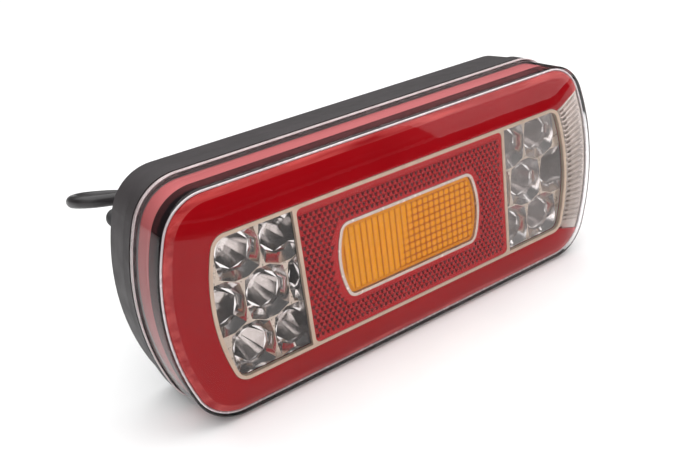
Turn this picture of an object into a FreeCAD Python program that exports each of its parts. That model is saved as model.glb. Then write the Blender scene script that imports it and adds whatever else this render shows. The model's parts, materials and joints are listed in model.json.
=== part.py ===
import FreeCAD, Part
import math
import os
import Sketcher

# Multi-function LED tail light for a trailer, millimetres.
# +X runs along the lamp, the lit face looks to -Y and +Z is up. The origin is the middle of the
# two mounting studs on the flat back of the housing. "Level" below means the height above that
# back face, measured towards the lit face, so a level of 20 is the plane y = -20.

SIZES = [
    # outline of the lamp: a rectangle with bowed ends and rounded corners
    ("shell_half_length", 120.0),
    ("shell_half_height", 51.0),
    ("shell_end_radius", 103.0),
    ("shell_corner_radius", 22.6),
    # outline of the lit panel in the middle, which sits a little off the centre of the shell
    ("panel_half_length", 98.4),
    ("panel_half_height", 31.7),
    ("panel_end_radius", 88.0),
    ("panel_corner_radius", 6.4),
    ("panel_shift_x", -0.7),
    ("panel_shift_z", -1.25),
    ("divider_offset", 56.9),
    ("trim_width", 1.7),
    # outline of the indicator window
    ("amber_half_length", 39.6),
    ("amber_half_height", 17.4),
    ("amber_end_radius", 40.0),
    ("amber_corner_radius", 5.0),
    ("amber_rim_width", 1.4),
    # levels above the back face
    ("floor_level", 3.0),
    ("ledge_level", 16.3),
    ("flange_level", 23.4),
    ("lens_flange_level", 25.4),
    ("rim_level", 47.3),
    ("front_level", 51.0),
    ("glass_level", 49.2),
    ("board_level", 20.6),
    ("board_thickness", 1.6),
    ("driver_level", 10.0),
    ("guide_level", 25.6),
    ("bezel_level", 35.4),
    ("ring_level", 43.4),
    ("tray_level", 46.2),
    # walls and gaps
    ("gap", 0.1),
    ("back_inset", 1.4),
    ("ledge_inset", 0.6),
    ("groove_inset", 0.7),
    ("cavity_inset", 4.8),
    ("rim_inset", 1.3),
    ("inner_inset", 2.4),
    ("ring_inset", 3.6),
    # reflector cups and light-emitting diodes
    ("cup_pitch_x", 20.0),
    ("cup_pitch_z", 21.2),
    ("cup_radius", 9.4),
    ("cup_neck_radius", 3.2),
    ("cup_inner_offset", 63.0),
    ("led_size", 3.6),
    ("led_height", 1.4),
    # board screws
    ("screw_radius", 1.3),
    ("screw_length", 6.0),
    ("screw_head_radius", 2.6),
    ("screw_head_height", 1.4),
    # mounting studs
    ("stud_spacing", 152.0),
    ("stud_radius", 3.0),
    ("stud_neck_radius", 3.6),
    ("stud_length", 22.0),
    ("stud_head_radius", 5.7),
    ("stud_head_height", 4.0),
    # vent plug, whose cap lies flush in the back face
    ("vent_x", 84.0),
    ("vent_z", 30.0),
    ("vent_cap_radius", 6.0),
    ("vent_cap_thickness", 1.8),
    ("vent_stem_radius", 4.0),
    # cable and its outlet
    ("cable_diameter", 6.0),
    ("outlet_radius", 4.1),
    ("outlet_x", -108.9),
    ("outlet_y", 8.0),
    ("outlet_z", 28.3),
    ("outlet_length", 25.0),
    ("coil_mid_radius", 31.0),
    ("coil_x", 22.0),
    ("coil_y", 95.0),
    ("core_diameter", 1.7),
]

# The cable's free stretch from its outlet to its coil, point by point: a turn behind the lamp,
# a fold that stands out past the lamp's left end, then down to the surface below.
LEAD_ROUTE = [
    (-83.9, 8.0, 28.3),
    (-70.0, 8.0, 28.0),
    (-58.3, 20.0, 25.5),
    (-58.3, 36.5, 21.5),
    (-70.0, 48.0, 17.6),
    (-101.0, 48.0, 22.7),
    (-109.4, 56.5, 22.6),
    (-109.4, 68.5, 19.8),
    (-100.8, 77.5, 16.6),
    (-78.0, 78.5, 10.5),
    (-54.0, 72.0, -2.0),
    (-32.0, 64.0, -20.0),
    (-12.0, 60.4, -38.5),
    (5.0, 60.5, -47.6),
    (22.0, 61.0, -47.9),
]
# The sheath's last stretch, down off the coil, and the bare cores beyond it
TAIL_ROUTE = [(22.0, 129.0, -42.0), (6.0, 129.3, -43.6), (-10.0, 131.2, -47.3),
              (-26.0, 135.8, -47.9)]
CORE_COUNT = 5
CORE_LENGTH = 26.0

PARTS_FOLDER = "parts"
doc = FreeCAD.newDocument("TrailerTailLight")
nodes = []


def vec(x, y, z):
    return FreeCAD.Vector(x, y, z)


def make_sheet():
    sheet = doc.addObject("Spreadsheet::Sheet", "Sizes")
    for row, (alias, value) in enumerate(SIZES, start=1):
        sheet.set("A%d" % row, alias)
        sheet.set("B%d" % row, str(value))
        sheet.setAlias("B%d" % row, alias)
    doc.recompute()
    return sheet


sheet = make_sheet()


def size(text):
    """A number worked out from the sheet's driving dimensions."""
    return float(sheet.evalExpression(text))


def dim(expression):
    """The same expression as seen from another object: every alias gets the sheet's name."""
    for alias, _ in SIZES:
        expression = replace_word(expression, alias)
    return expression


def replace_word(expression, alias):
    pieces = []
    word = ""
    for letter in expression + " ":
        if letter.isalnum() or letter in "_.":
            word += letter
            continue
        pieces.append("Sizes." + word if word == alias else word)
        pieces.append(letter)
        word = ""
    return "".join(pieces).strip()


def keep(item, label):
    """Name a finished sub-part, which also names its file."""
    item.Label = label
    nodes.append(item)
    return item


# ---------------------------------------------------------------- outlines in sketches

OUTLINES = {
    "shell": ("shell_half_length", "shell_half_height", "shell_end_radius", "shell_corner_radius",
              "0", "0"),
    "panel": ("panel_half_length", "panel_half_height", "panel_end_radius", "panel_corner_radius",
              "panel_shift_x", "panel_shift_z"),
    "amber": ("amber_half_length", "amber_half_height", "amber_end_radius", "amber_corner_radius",
              "panel_shift_x", "panel_shift_z"),
}


def new_body(name):
    return doc.addObject("PartDesign::Body", name)


def new_sketch(body, name, level, plane="XZ_Plane"):
    """A sketch on one of the body's own planes, lifted to a level by an expression."""
    sketch = body.newObject("Sketcher::SketchObject", name)
    support = [item for item in body.Origin.OriginFeatures if item.Role == plane][0]
    sketch.AttachmentSupport = (support, [""])
    sketch.MapMode = "FlatFace"
    sketch.setExpression("AttachmentOffset.Base.z", dim(level))
    return sketch


def bind(sketch, kind, where, value, expression):
    index = sketch.addConstraint(Sketcher.Constraint(kind, *where, value))
    sketch.setExpression("Constraints[%d]" % index, dim(expression))


def add_outline(sketch, family, inset="0"):
    """A bowed rectangle, offset inwards by an inset: two lines, two end arcs, four corners."""
    length, height, bow, corner, cx, cz = OUTLINES[family]
    length, height, bow, corner = ["(%s) - (%s)" % (item, inset)
                                   for item in (length, height, bow, corner)]
    a, b, big, small, x, z = [size(item) for item in (length, height, bow, corner, cx, cz)]
    lift = b - small
    reach = a - big + math.sqrt((big - small) ** 2 - lift ** 2)
    turn = math.atan2(lift, reach - (a - big))
    normal = vec(0, 0, 1)

    def arc(dx, dz, radius, start, end):
        circle = Part.Circle(vec(x + dx, z + dz, 0), normal, radius)
        return Part.ArcOfCircle(circle, start, end)

    half = math.pi / 2
    edges = sketch.addGeometry([
        Part.LineSegment(vec(x - reach, z - b, 0), vec(x + reach, z - b, 0)),
        arc(reach, -lift, small, -half, -turn),
        arc(a - big, 0, big, -turn, turn),
        arc(reach, lift, small, turn, half),
        Part.LineSegment(vec(x + reach, z + b, 0), vec(x - reach, z + b, 0)),
        arc(-reach, lift, small, half, math.pi - turn),
        arc(big - a, 0, big, math.pi - turn, math.pi + turn),
        arc(-reach, -lift, small, math.pi + turn, math.pi + half),
    ], False)
    bottom, right, top, left = edges[0], edges[2], edges[4], edges[6]
    make = Sketcher.Constraint
    count = len(edges)
    sketch.addConstraint([make("Tangent", edges[i], 2, edges[(i + 1) % count], 1)
                          for i in range(count)])
    sketch.addConstraint([make("Horizontal", bottom), make("Horizontal", top)])
    sketch.addConstraint([make("Equal", edges[1], edges[i]) for i in (3, 5, 7)])
    sketch.addConstraint(make("Equal", right, left))
    bind(sketch, "Radius", (edges[1],), small, corner)
    bind(sketch, "Radius", (right,), big, bow)
    bind(sketch, "DistanceX", (-1, 1, right, 3), x + a - big, "%s + %s - (%s)" % (cx, length, bow))
    bind(sketch, "DistanceX", (-1, 1, left, 3), x - a + big, "%s - (%s) + %s" % (cx, length, bow))
    bind(sketch, "DistanceY", (-1, 1, right, 3), z, cz)
    bind(sketch, "DistanceY", (-1, 1, left, 3), z, cz)
    bind(sketch, "DistanceY", (-1, 1, bottom, 1), z - b, "%s - (%s)" % (cz, height))
    bind(sketch, "DistanceY", (-1, 1, top, 1), z + b, "%s + %s" % (cz, height))


def add_polygon(sketch, points):
    """A closed polygon whose corners are pairs of expressions."""
    corners = [(size(x), size(z)) for x, z in points]
    count = len(corners)
    edges = sketch.addGeometry([
        Part.LineSegment(vec(*corners[i], 0), vec(*corners[(i + 1) % count], 0))
        for i in range(count)], False)
    for i in range(count):
        sketch.addConstraint(Sketcher.Constraint("Coincident", edges[i], 2,
                                                 edges[(i + 1) % count], 1))
    for edge, corner, (x, z) in zip(edges, corners, points):
        bind(sketch, "DistanceX", (-1, 1, edge, 1), corner[0], x)
        bind(sketch, "DistanceY", (-1, 1, edge, 1), corner[1], z)


def add_circle(sketch, x, z, radius):
    middle = (size(x), size(z))
    edge = sketch.addGeometry(
        Part.Circle(vec(*middle, 0), vec(0, 0, 1), size(radius)), False)
    bind(sketch, "Radius", (edge,), size(radius), radius)
    bind(sketch, "DistanceX", (-1, 1, edge, 3), middle[0], x)
    bind(sketch, "DistanceY", (-1, 1, edge, 3), middle[1], z)


# ---------------------------------------------------------------- features

def pad(body, sketch, length):
    feature = body.newObject("PartDesign::Pad", sketch.Name + "Pad")
    feature.Profile = sketch
    feature.setExpression("Length", dim(length))
    return feature


def pocket(body, sketch, depth):
    """Cut from the sketch's level back towards the mounting face; the volume has to drop."""
    doc.recompute()
    before = body.Shape.Volume
    feature = body.newObject("PartDesign::Pocket", sketch.Name + "Pocket")
    feature.Profile = sketch
    feature.setExpression("Length", dim(depth))
    doc.recompute()
    if not body.Shape.Volume < before - 1.0:
        raise RuntimeError(body.Name + ": the pocket cuts nothing")
    return feature


def loft(body, kind, sections):
    """Join outlines at different levels: kind is AdditiveLoft or SubtractiveLoft."""
    sketches = []
    for family, inset, level in sections:
        name = "%sSection%d" % (body.Name, len(body.Group))
        sketch = new_sketch(body, name, level)
        add_outline(sketch, family, inset)
        sketches.append(sketch)
    feature = body.newObject("PartDesign::" + kind, "%sLoft%d" % (body.Name, len(body.Group)))
    feature.Profile = sketches[0]
    feature.Sections = sketches[1:]
    feature.Ruled = True
    doc.recompute()
    return feature


def outline_pad(body, family, inset, start, end):
    sketch = new_sketch(body, "%sOutline%d" % (body.Name, len(body.Group)), start)
    add_outline(sketch, family, inset)
    return pad(body, sketch, "%s - (%s)" % (end, start))


def outline_pocket(body, family, inset, start, end):
    sketch = new_sketch(body, "%sCut%d" % (body.Name, len(body.Group)), end)
    add_outline(sketch, family, inset)
    return pocket(body, sketch, "%s - (%s)" % (end, start))


def polygon_pocket(body, points, start, end):
    sketch = new_sketch(body, "%sNotch%d" % (body.Name, len(body.Group)), end)
    add_polygon(sketch, points)
    return pocket(body, sketch, "%s - (%s)" % (end, start))


def circle_pocket(body, circles, start, end):
    sketch = new_sketch(body, "%sHole%d" % (body.Name, len(body.Group)), end)
    for x, z, radius in circles:
        add_circle(sketch, x, z, radius)
    return pocket(body, sketch, "%s - (%s)" % (end, start))


def circle_pad(body, circles, start, end):
    sketch = new_sketch(body, "%sDisc%d" % (body.Name, len(body.Group)), start)
    for x, z, radius in circles:
        add_circle(sketch, x, z, radius)
    return pad(body, sketch, "%s - (%s)" % (end, start))


def ring(name, family, outer, inner, start, end):
    """A flat band that follows an outline."""
    body = new_body(name)
    outline_pad(body, family, outer, start, end)
    outline_pocket(body, family, inner, start, end)
    return body


def primitive(kind, name, sizes, base, turn=(0, 0, 1, 0)):
    """A Part primitive whose sizes and place are bound to the sheet."""
    item = doc.addObject("Part::" + kind, name)
    for prop, expression in sizes.items():
        item.setExpression(prop, dim(expression))
    item.Placement = FreeCAD.Placement(vec(0, 0, 0), FreeCAD.Rotation(vec(*turn[:3]), turn[3]))
    for axis, expression in zip("xyz", base):
        item.setExpression("Placement.Base." + axis, dim(expression))
    return item


def box(name, x, z, start, length, height, depth):
    """A block centred on x and z that stands on a level."""
    sizes = {"Length": length, "Width": depth, "Height": height}
    base = ("%s - (%s) / 2" % (x, length), "-(%s) - (%s)" % (start, depth),
            "%s - (%s) / 2" % (z, height))
    return primitive("Box", name, sizes, base)


def rod(name, x, z, radius, start, end):
    """A round bar along Y from one level to a higher one."""
    return primitive("Cylinder", name, {"Radius": radius, "Height": "%s - (%s)" % (end, start)},
                     (x, "-(%s)" % start, z), (1, 0, 0, 90))


def cut(name, base, tool):
    result = doc.addObject("Part::Cut", name)
    result.Base = base
    result.Tool = tool
    return result


def joined(name, items):
    result = doc.addObject("Part::MultiFuse", name)
    result.Shapes = items
    return result


def group(name, items):
    """Identical separate solids that share one node."""
    result = doc.addObject("Part::Compound", name)
    result.Links = items
    return result


# ---------------------------------------------------------------- housing and lens

STUDS = ["-stud_spacing / 2", "stud_spacing / 2"]
BOARD_POSTS = [("-104", "-20"), ("-70", "38"), ("70", "38"), ("104", "-20"), ("0", "-38")]
DRIVER_POSTS = [("-46", "2"), ("22", "2")]


def rear_housing():
    """Black tub with a flange, stud pockets, board posts and holes for the cable and vent."""
    body = new_body("RearHousing")
    loft(body, "AdditiveLoft", [("shell", "back_inset", "0"),
                                ("shell", "ledge_inset", "ledge_level")])
    outline_pad(body, "shell", "0", "ledge_level", "flange_level - 1")
    outline_pad(body, "shell", "groove_inset", "flange_level - 1", "flange_level")
    outline_pocket(body, "shell", "cavity_inset", "floor_level", "flange_level")
    outline_pocket(body, "shell", "1.4", "flange_level - 2", "flange_level")
    outline_pad(body, "shell", "3.4", "flange_level - 2", "flange_level")
    outline_pocket(body, "shell", "cavity_inset", "flange_level - 2", "flange_level")
    circle_pad(body, [(x, "0", "9") for x in STUDS], "floor_level", "floor_level + 6")
    circle_pad(body, [(x, z, "4") for x, z in BOARD_POSTS], "floor_level", "board_level")
    circle_pad(body, [(x, z, "3") for x, z in DRIVER_POSTS], "floor_level", "driver_level")
    circle_pocket(body, [(x, "0", "stud_head_radius + gap") for x in STUDS],
                  "floor_level", "floor_level + 6")
    holes = [(x, "0", "stud_neck_radius") for x in STUDS]
    holes.append(("outlet_x + 4", "outlet_z", "outlet_radius"))
    holes.append(("vent_x", "vent_z", "vent_stem_radius"))
    circle_pocket(body, holes, "0", "floor_level")
    circle_pocket(body, [("vent_x", "vent_z", "vent_cap_radius + gap")], "0",
                  "vent_cap_thickness")
    for posts, level in ((BOARD_POSTS, "board_level"), (DRIVER_POSTS, "driver_level")):
        circle_pocket(body, [(x, z, "screw_radius") for x, z in posts],
                      level + " - screw_length", level)
    keep(body, "rear_housing")


def lens_seal():
    """Sealing bead in the groove between the housing's flange and the lens."""
    keep(ring("LensSeal", "shell", "1.4", "3.4", "flange_level - 2", "flange_level"), "lens_seal")


def outer_lens():
    """Clear cover: flange, side wall, sloping shoulder and the flat window in the middle."""
    body = new_body("OuterLens")
    outline_pad(body, "shell", "0", "flange_level", "lens_flange_level")
    loft(body, "AdditiveLoft", [("shell", "0.9", "lens_flange_level"),
                                ("shell", "rim_inset", "rim_level")])
    loft(body, "AdditiveLoft", [("shell", "rim_inset", "rim_level"),
                                ("shell", "rim_inset + 1.2", "rim_level + 1"),
                                ("panel", "-1", "front_level")])
    outline_pocket(body, "shell", "inner_inset - gap", "flange_level", "rim_level - 1.6")
    loft(body, "SubtractiveLoft", [("shell", "inner_inset - gap", "rim_level - 1.6"),
                                   ("panel", "-0.5", "glass_level")])
    keep(body, "outer_lens")


def inner_bezel():
    keep(ring("InnerBezel", "shell", "inner_inset", "ring_inset - gap", "bezel_level",
              "rim_level - 2.9"), "inner_bezel")


def tail_light_guide():
    keep(ring("TailLightGuide", "shell", "inner_inset", "7.5", "guide_level", "bezel_level"),
         "tail_light_guide")


def optics_carrier():
    """Grey frame that seats the light guide and leaves the middle open for the trays."""
    body = ring("OpticsCarrier", "shell", "6.6", "8", "board_level + 1.7", "guide_level")
    outline_pad(body, "shell", "inner_inset", "flange_level + gap", "guide_level")
    outline_pocket(body, "shell", "8", "flange_level + gap", "guide_level")
    outline_pad(body, "shell", "8", "guide_level - 1.4", "guide_level")
    outline_pocket(body, "panel", "-0.5", "guide_level - 1.4", "guide_level")
    keep(body, "optics_carrier")


def ring_blank(name):
    """The full front ring under the lens shoulder, before it is split into two pieces."""
    body = new_body(name)
    outline_pad(body, "shell", "ring_inset", "ring_level", "rim_level - 1.5")
    loft(body, "AdditiveLoft", [("shell", "ring_inset", "rim_level - 1.5"),
                                ("panel", "-0.9", "glass_level - 0.2")])
    outline_pocket(body, "panel", "-0.7", "ring_level", "glass_level")
    return body


def end_wedge(name, grow):
    """Prism over the clear right end, between the two slanted ends of the red ring."""
    body = new_body(name)
    sketch = new_sketch(body, name + "Sketch", "ring_level - 1")
    corner_x = "panel_shift_x + panel_half_length - 4.3"
    top = "panel_shift_z + panel_half_height - 0.9"
    low = "panel_shift_z - panel_half_height - 0.3"
    add_polygon(sketch, [
        (corner_x + " - 8", top + " - 2.56 - (%s)" % grow),
        (corner_x + " + 14", top + " + 4.5 - (%s)" % grow),
        (corner_x + " + 40", top + " + 8 - (%s)" % grow),
        (corner_x + " + 40", low + " - 8 + %s" % grow),
        (corner_x + " + 14", low + " - 5 + %s" % grow),
        (corner_x + " - 8", low + " + 2.9 + %s" % grow),
    ])
    pad(body, sketch, "front_level - ring_level + 1")
    return body


def front_ring():
    """The glossy red C and the clear ribbed piece that closes it at the right."""
    keep(cut("RedRing", ring_blank("RedRingBlank"), end_wedge("RedRingWedge", "0")),
         "red_ring_lens")
    rib = doc.addObject("Part::Common", "EndRib")
    rib.Base = ring_blank("EndRibBlank")
    rib.Tool = end_wedge("EndRibWedge", "gap")
    keep(rib, "end_rib_optic")


# ---------------------------------------------------------------- panel pieces

def panel_polygon(left, right, low, high):
    return [(left, low), (right, low), (right, high), (left, high)]


def panel_trim():
    """Thin bright frame round the panel, with its two dividers."""
    body = new_body("PanelTrim")
    outline_pad(body, "panel", "-0.4", "tray_level + 1.4", "glass_level - gap")
    middle = "panel_shift_x"
    half = "divider_offset - trim_width / 2"
    high = "panel_shift_z + panel_half_height - trim_width + 0.4"
    low = "panel_shift_z - panel_half_height + trim_width - 0.4"
    polygon_pocket(body, panel_polygon(middle + " - (%s)" % half, middle + " + " + half,
                                       low, high), "tray_level + 1.4", "glass_level - gap")
    for side in (-1, 1):
        window_cut(body, side, "tray_level + 1.4", "glass_level - gap")
    keep(body, "panel_trim")


def add_window(sketch, side, inset):
    """One end window: a straight edge at the divider and a bowed outer end."""
    length, height, bow, corner, cx, cz = [size(item) for item in OUTLINES["panel"]]
    shrink = size("trim_width - 0.4 + %s" % inset)
    a, b, big, small = length - shrink, height - shrink, bow - shrink, corner - shrink
    near = side * size("divider_offset + trim_width / 2 + %s" % inset)
    lift = b - small
    reach = a - big + math.sqrt((big - small) ** 2 - lift ** 2)
    turn = math.atan2(lift, reach - (a - big))
    normal = vec(0, 0, 1)

    def at(dx, dz):
        return vec(cx + dx, cz + dz, 0)

    def arc(dx, dz, radius, start, end):
        if side < 0:
            start, end = math.pi - end, math.pi - start
        return Part.ArcOfCircle(Part.Circle(at(side * dx, dz), normal, radius), start, end)

    half = math.pi / 2
    edges = sketch.addGeometry([
        Part.LineSegment(at(near, b), at(near, -b)),
        Part.LineSegment(at(near, -b), at(side * reach, -b)),
        arc(reach, -lift, small, -half, -turn),
        arc(a - big, 0, big, -turn, turn),
        arc(reach, lift, small, turn, half),
        Part.LineSegment(at(side * reach, b), at(near, b)),
    ], False)
    divider, bottom, low_corner, end, high_corner, top = edges
    start, finish = (1, 2) if side > 0 else (2, 1)
    make = Sketcher.Constraint
    sketch.addConstraint([
        make("Coincident", divider, 2, bottom, 1),
        make("Tangent", bottom, 2, low_corner, start),
        make("Tangent", low_corner, finish, end, start),
        make("Tangent", end, finish, high_corner, start),
        make("Tangent", high_corner, finish, top, 1),
        make("Coincident", top, 2, divider, 1),
        make("Horizontal", bottom),
        make("Horizontal", top),
        make("Vertical", divider),
        make("Equal", low_corner, high_corner),
    ])
    shrink_text = "(trim_width - 0.4 + %s)" % inset
    sign = "" if side > 0 else "-"
    centre = "panel_shift_x %s (panel_half_length - panel_end_radius)" % ("+" if side > 0 else "-")
    edge = "panel_shift_x + %s(divider_offset + trim_width / 2 + %s)" % (sign, inset)
    bind(sketch, "Radius", (low_corner,), small, "panel_corner_radius - " + shrink_text)
    bind(sketch, "Radius", (end,), big, "panel_end_radius - " + shrink_text)
    bind(sketch, "DistanceX", (-1, 1, end, 3), cx + side * (a - big), centre)
    bind(sketch, "DistanceY", (-1, 1, end, 3), cz, "panel_shift_z")
    bind(sketch, "DistanceX", (-1, 1, divider, 1), cx + near, edge)
    bind(sketch, "DistanceY", (-1, 1, divider, 1), cz + b,
         "panel_shift_z + panel_half_height - " + shrink_text)
    bind(sketch, "DistanceY", (-1, 1, divider, 2), cz - b,
         "panel_shift_z - panel_half_height + " + shrink_text)


def window_cut(body, side, start, end):
    sketch = new_sketch(body, "%sWindow%d" % (body.Name, len(body.Group)), end)
    add_window(sketch, side, "0")
    return pocket(body, sketch, "%s - (%s)" % (end, start))


def reflex_reflector():
    """Red retro-reflecting plate between the dividers, with a hole for the indicator."""
    body = new_body("ReflexReflector")
    half = "divider_offset - trim_width / 2 - gap"
    rise = "panel_half_height - trim_width + 0.4 - gap"
    sketch = new_sketch(body, "ReflexSketch", "tray_level")
    add_polygon(sketch, panel_polygon("panel_shift_x - (%s)" % half, "panel_shift_x + " + half,
                                      "panel_shift_z - (%s)" % rise, "panel_shift_z + " + rise))
    pad(body, sketch, "glass_level - 0.3 - tray_level")
    outline_pocket(body, "amber", "-gap", "tray_level", "glass_level - 0.3")
    keep(body, "reflex_reflector")


def indicator_window():
    """Bright rim, amber lens and the open tray behind them."""
    keep(ring("AmberRim", "amber", "0", "amber_rim_width", "tray_level", "glass_level - gap"),
         "amber_rim")
    lens = new_body("AmberLens")
    outline_pad(lens, "amber", "amber_rim_width + gap", "tray_level - 0.4", "glass_level - 0.4")
    outline_pocket(lens, "amber", "amber_rim_width + 2", "tray_level - 0.4", "tray_level + 0.8")
    keep(lens, "amber_lens")
    tray = new_body("IndicatorTray")
    top = "tray_level - 0.5"
    loft(tray, "AdditiveLoft", [("amber", "2", "board_level + 3"), ("amber", "0", top)])
    loft(tray, "SubtractiveLoft", [("amber", "3.6", "board_level + 3"),
                                   ("amber", "amber_rim_width", top)])
    keep(tray, "indicator_reflector")


def cup_centres(side):
    """Six cups: two on the middle row, two on each outer row, which sit half a pitch nearer."""
    centres = []
    for row in (-1, 0, 1):
        shift = "cup_inner_offset + %s" % ("cup_pitch_x / 2" if row == 0 else "0")
        for column in (0, 1):
            x = "panel_shift_x + %d * (%s + %d * cup_pitch_x)" % (side, shift, column)
            centres.append((x, "panel_shift_z + %d * cup_pitch_z" % row))
    return centres


def cup_groove(body, x, z):
    """Turn one bowl-shaped cup, open at the front and with a neck for its diode."""
    sketch = new_sketch(body, "%sCup%d" % (body.Name, len(body.Group)), z, "XY_Plane")
    sketch.setExpression("AttachmentOffset.Base.x", dim(x))
    low, high = "board_level + 2.4", "tray_level + 0.5"
    add_polygon(sketch, [
        ("0", "-(%s)" % high),
        ("0", "-(%s)" % low),
        ("cup_neck_radius", "-(%s)" % low),
        ("cup_neck_radius", "-(board_level + 5)"),
        ("cup_radius * 0.74", "-(board_level + 10)"),
        ("cup_radius", "-(tray_level - 1)"),
        ("cup_radius", "-(%s)" % high),
    ])
    groove = body.newObject("PartDesign::Groove", sketch.Name + "Groove")
    groove.Profile = sketch
    groove.ReferenceAxis = (sketch, ["V_Axis"])
    groove.Angle = 360


def cup_reflector(name, label, side):
    """Bright tray at one end of the panel with six cups sunk into it."""
    body = new_body(name)
    sketch = new_sketch(body, name + "Sketch", "board_level + 2.6")
    add_window(sketch, side, "gap")
    pad(body, sketch, "tray_level - board_level - 2.6")
    doc.recompute()
    before = body.Shape.Volume
    for x, z in cup_centres(side):
        cup_groove(body, x, z)
    doc.recompute()
    if not body.Shape.Volume < before * 0.8:
        raise RuntimeError(name + ": the cups cut nothing")
    keep(body, label)


# ---------------------------------------------------------------- electronics

def led_board():
    """Circuit board that carries every diode."""
    body = new_body("LedBoard")
    outline_pad(body, "shell", "6.5", "board_level", "board_level + board_thickness")
    circle_pocket(body, [(x, z, "screw_radius + gap") for x, z in BOARD_POSTS], "board_level",
                  "board_level + board_thickness")
    keep(body, "led_board")


def led(name, x, z):
    return box(name, x, z, "board_level + board_thickness", "led_size", "led_size", "led_height")


def led_groups():
    for side, label in ((-1, "left_cluster_leds"), (1, "right_cluster_leds")):
        leds = [led("%s%d" % (label, i), x, z) for i, (x, z) in enumerate(cup_centres(side))]
        keep(group(label + "_group", leds), label)
    places = [("panel_shift_x + %d" % x, "panel_shift_z + %d" % z)
              for z in (-7, 7) for x in (-28, -14, 0, 14, 28)]
    leds = [led("indicator_led%d" % i, x, z) for i, (x, z) in enumerate(places)]
    keep(group("indicator_leds_group", leds), "indicator_leds")
    places = [(str(x), "%d * (shell_half_height - 10)" % row)
              for row in (-1, 1) for x in range(-84, 85, 24)]
    places += [("%d * (shell_half_length - 11)" % side, str(z))
               for side in (-1, 1) for z in (-12, 12)]
    leds = [led("tail_led%d" % i, x, z) for i, (x, z) in enumerate(places)]
    keep(group("tail_leds_group", leds), "tail_leds")


def driver_board():
    """Small board that regulates the supply, with its parts and the cable's header."""
    board = new_body("DriverBoard")
    sketch = new_sketch(board, "DriverSketch", "driver_level")
    add_polygon(sketch, panel_polygon("-68", "28", "-20", "24"))
    pad(board, sketch, "board_thickness")
    circle_pocket(board, [(x, z, "screw_radius + gap") for x, z in DRIVER_POSTS],
                  "driver_level", "driver_level + board_thickness")
    keep(board, "driver_board")
    top = "driver_level + board_thickness"
    chips = [box("DriverChip%d" % i, str(-36 + 13 * i), str(-12 + 6 * (i % 2)), top,
                 "7", "5", "2.4") for i in range(4)]
    cans = [rod("DriverCan%d" % i, str(-10 + 14 * i), "16", "4", top, top + " + 8")
            for i in range(2)]
    keep(group("DriverParts", chips + cans), "driver_components")
    keep(box("WireHeader", "-58", "16", top, "14", "12", "6"), "wire_header")


def board_screws():
    """The same small screw holds the diode board and the driver board to their posts."""
    screws = []
    for posts, level in ((BOARD_POSTS, "board_level"), (DRIVER_POSTS, "driver_level")):
        seat = level + " + board_thickness"
        for x, z in posts:
            number = len(screws)
            head = rod("ScrewHead%d" % number, x, z, "screw_head_radius", seat,
                       seat + " + screw_head_height")
            shank = rod("ScrewShank%d" % number, x, z, "screw_radius",
                        level + " - screw_length", seat)
            screws.append(joined("Screw%d" % number, [head, shank]))
    keep(group("BoardScrews", screws), "board_screws")


# ---------------------------------------------------------------- back of the lamp

def mounting_studs():
    """Two threaded studs: hexagon heads in the housing's pockets and pressed-in necks."""
    studs = []
    for i, x in enumerate(STUDS):
        head = primitive("Prism", "StudHead%d" % i,
                         {"Polygon": "6", "Circumradius": "stud_head_radius",
                          "Height": "stud_head_height"},
                         (x, "-floor_level", "0"), (1, 0, 0, 90))
        neck = rod("StudNeck%d" % i, x, "0", "stud_neck_radius", "0", "floor_level + 1")
        shank = rod("StudShank%d" % i, x, "0", "stud_radius", "-stud_length", "1")
        studs.append(joined("Stud%d" % i, [head, neck, shank]))
    keep(group("Studs", studs), "mounting_studs")


def vent_plug():
    """Rubber plug that lets the lamp breathe."""
    cap = rod("VentCap", "vent_x", "vent_z", "vent_cap_radius", "0", "vent_cap_thickness")
    stem = rod("VentStem", "vent_x", "vent_z", "vent_stem_radius", "0", "floor_level")
    keep(joined("VentPlug", [cap, stem]), "vent_plug")


def cable_outlet():
    """Rubber elbow: a stem through the back, a round shoulder and a tapered sleeve along +X."""
    stem = primitive("Cylinder", "OutletStem",
                     {"Radius": "outlet_radius", "Height": "outlet_y + floor_level + 2"},
                     ("outlet_x + 4", "-floor_level - 2", "outlet_z"), (1, 0, 0, -90))
    shoulder = primitive("Sphere", "OutletShoulder", {"Radius": "outlet_radius"},
                         ("outlet_x", "outlet_y", "outlet_z"))
    neck = primitive("Cylinder", "OutletNeck", {"Radius": "outlet_radius", "Height": "8.1"},
                     ("outlet_x", "outlet_y", "outlet_z"), (0, 1, 0, 90))
    sleeve = primitive("Cone", "OutletSleeve",
                       {"Radius1": "outlet_radius", "Radius2": "cable_diameter / 2 + 0.5",
                        "Height": "outlet_length - 8"},
                       ("outlet_x + 8", "outlet_y", "outlet_z"), (0, 1, 0, 90))
    keep(joined("CableOutlet", [stem, shoulder, neck, sleeve]), "cable_outlet")


# ---------------------------------------------------------------- cable

def route_path(points):
    """Straight runs joined by tangent arcs, each as large as its two runs allow."""
    points = [vec(*point) for point in points]
    edges = []
    radii = []
    start = points[0]
    for before, corner, after in zip(points, points[1:], points[2:]):
        back = before.sub(corner)
        ahead = after.sub(corner)
        reach = 0.45 * min(back.Length, ahead.Length)
        back.normalize()
        ahead.normalize()
        half_turn = (math.pi - back.getAngle(ahead)) / 2
        radii.append(reach / math.tan(half_turn))
        entry = corner.add(back * reach)
        leave = corner.add(ahead * reach)
        inward = back.add(ahead)
        inward.normalize()
        middle = corner.add(inward * (radii[-1] / math.cos(half_turn) - radii[-1]))
        edges.append(Part.LineSegment(start, entry).toShape())
        edges.append(Part.Arc(entry, middle, leave).toShape())
        start = leave
    edges.append(Part.LineSegment(start, points[-1]).toShape())
    return Part.Wire(edges), radii


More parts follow.
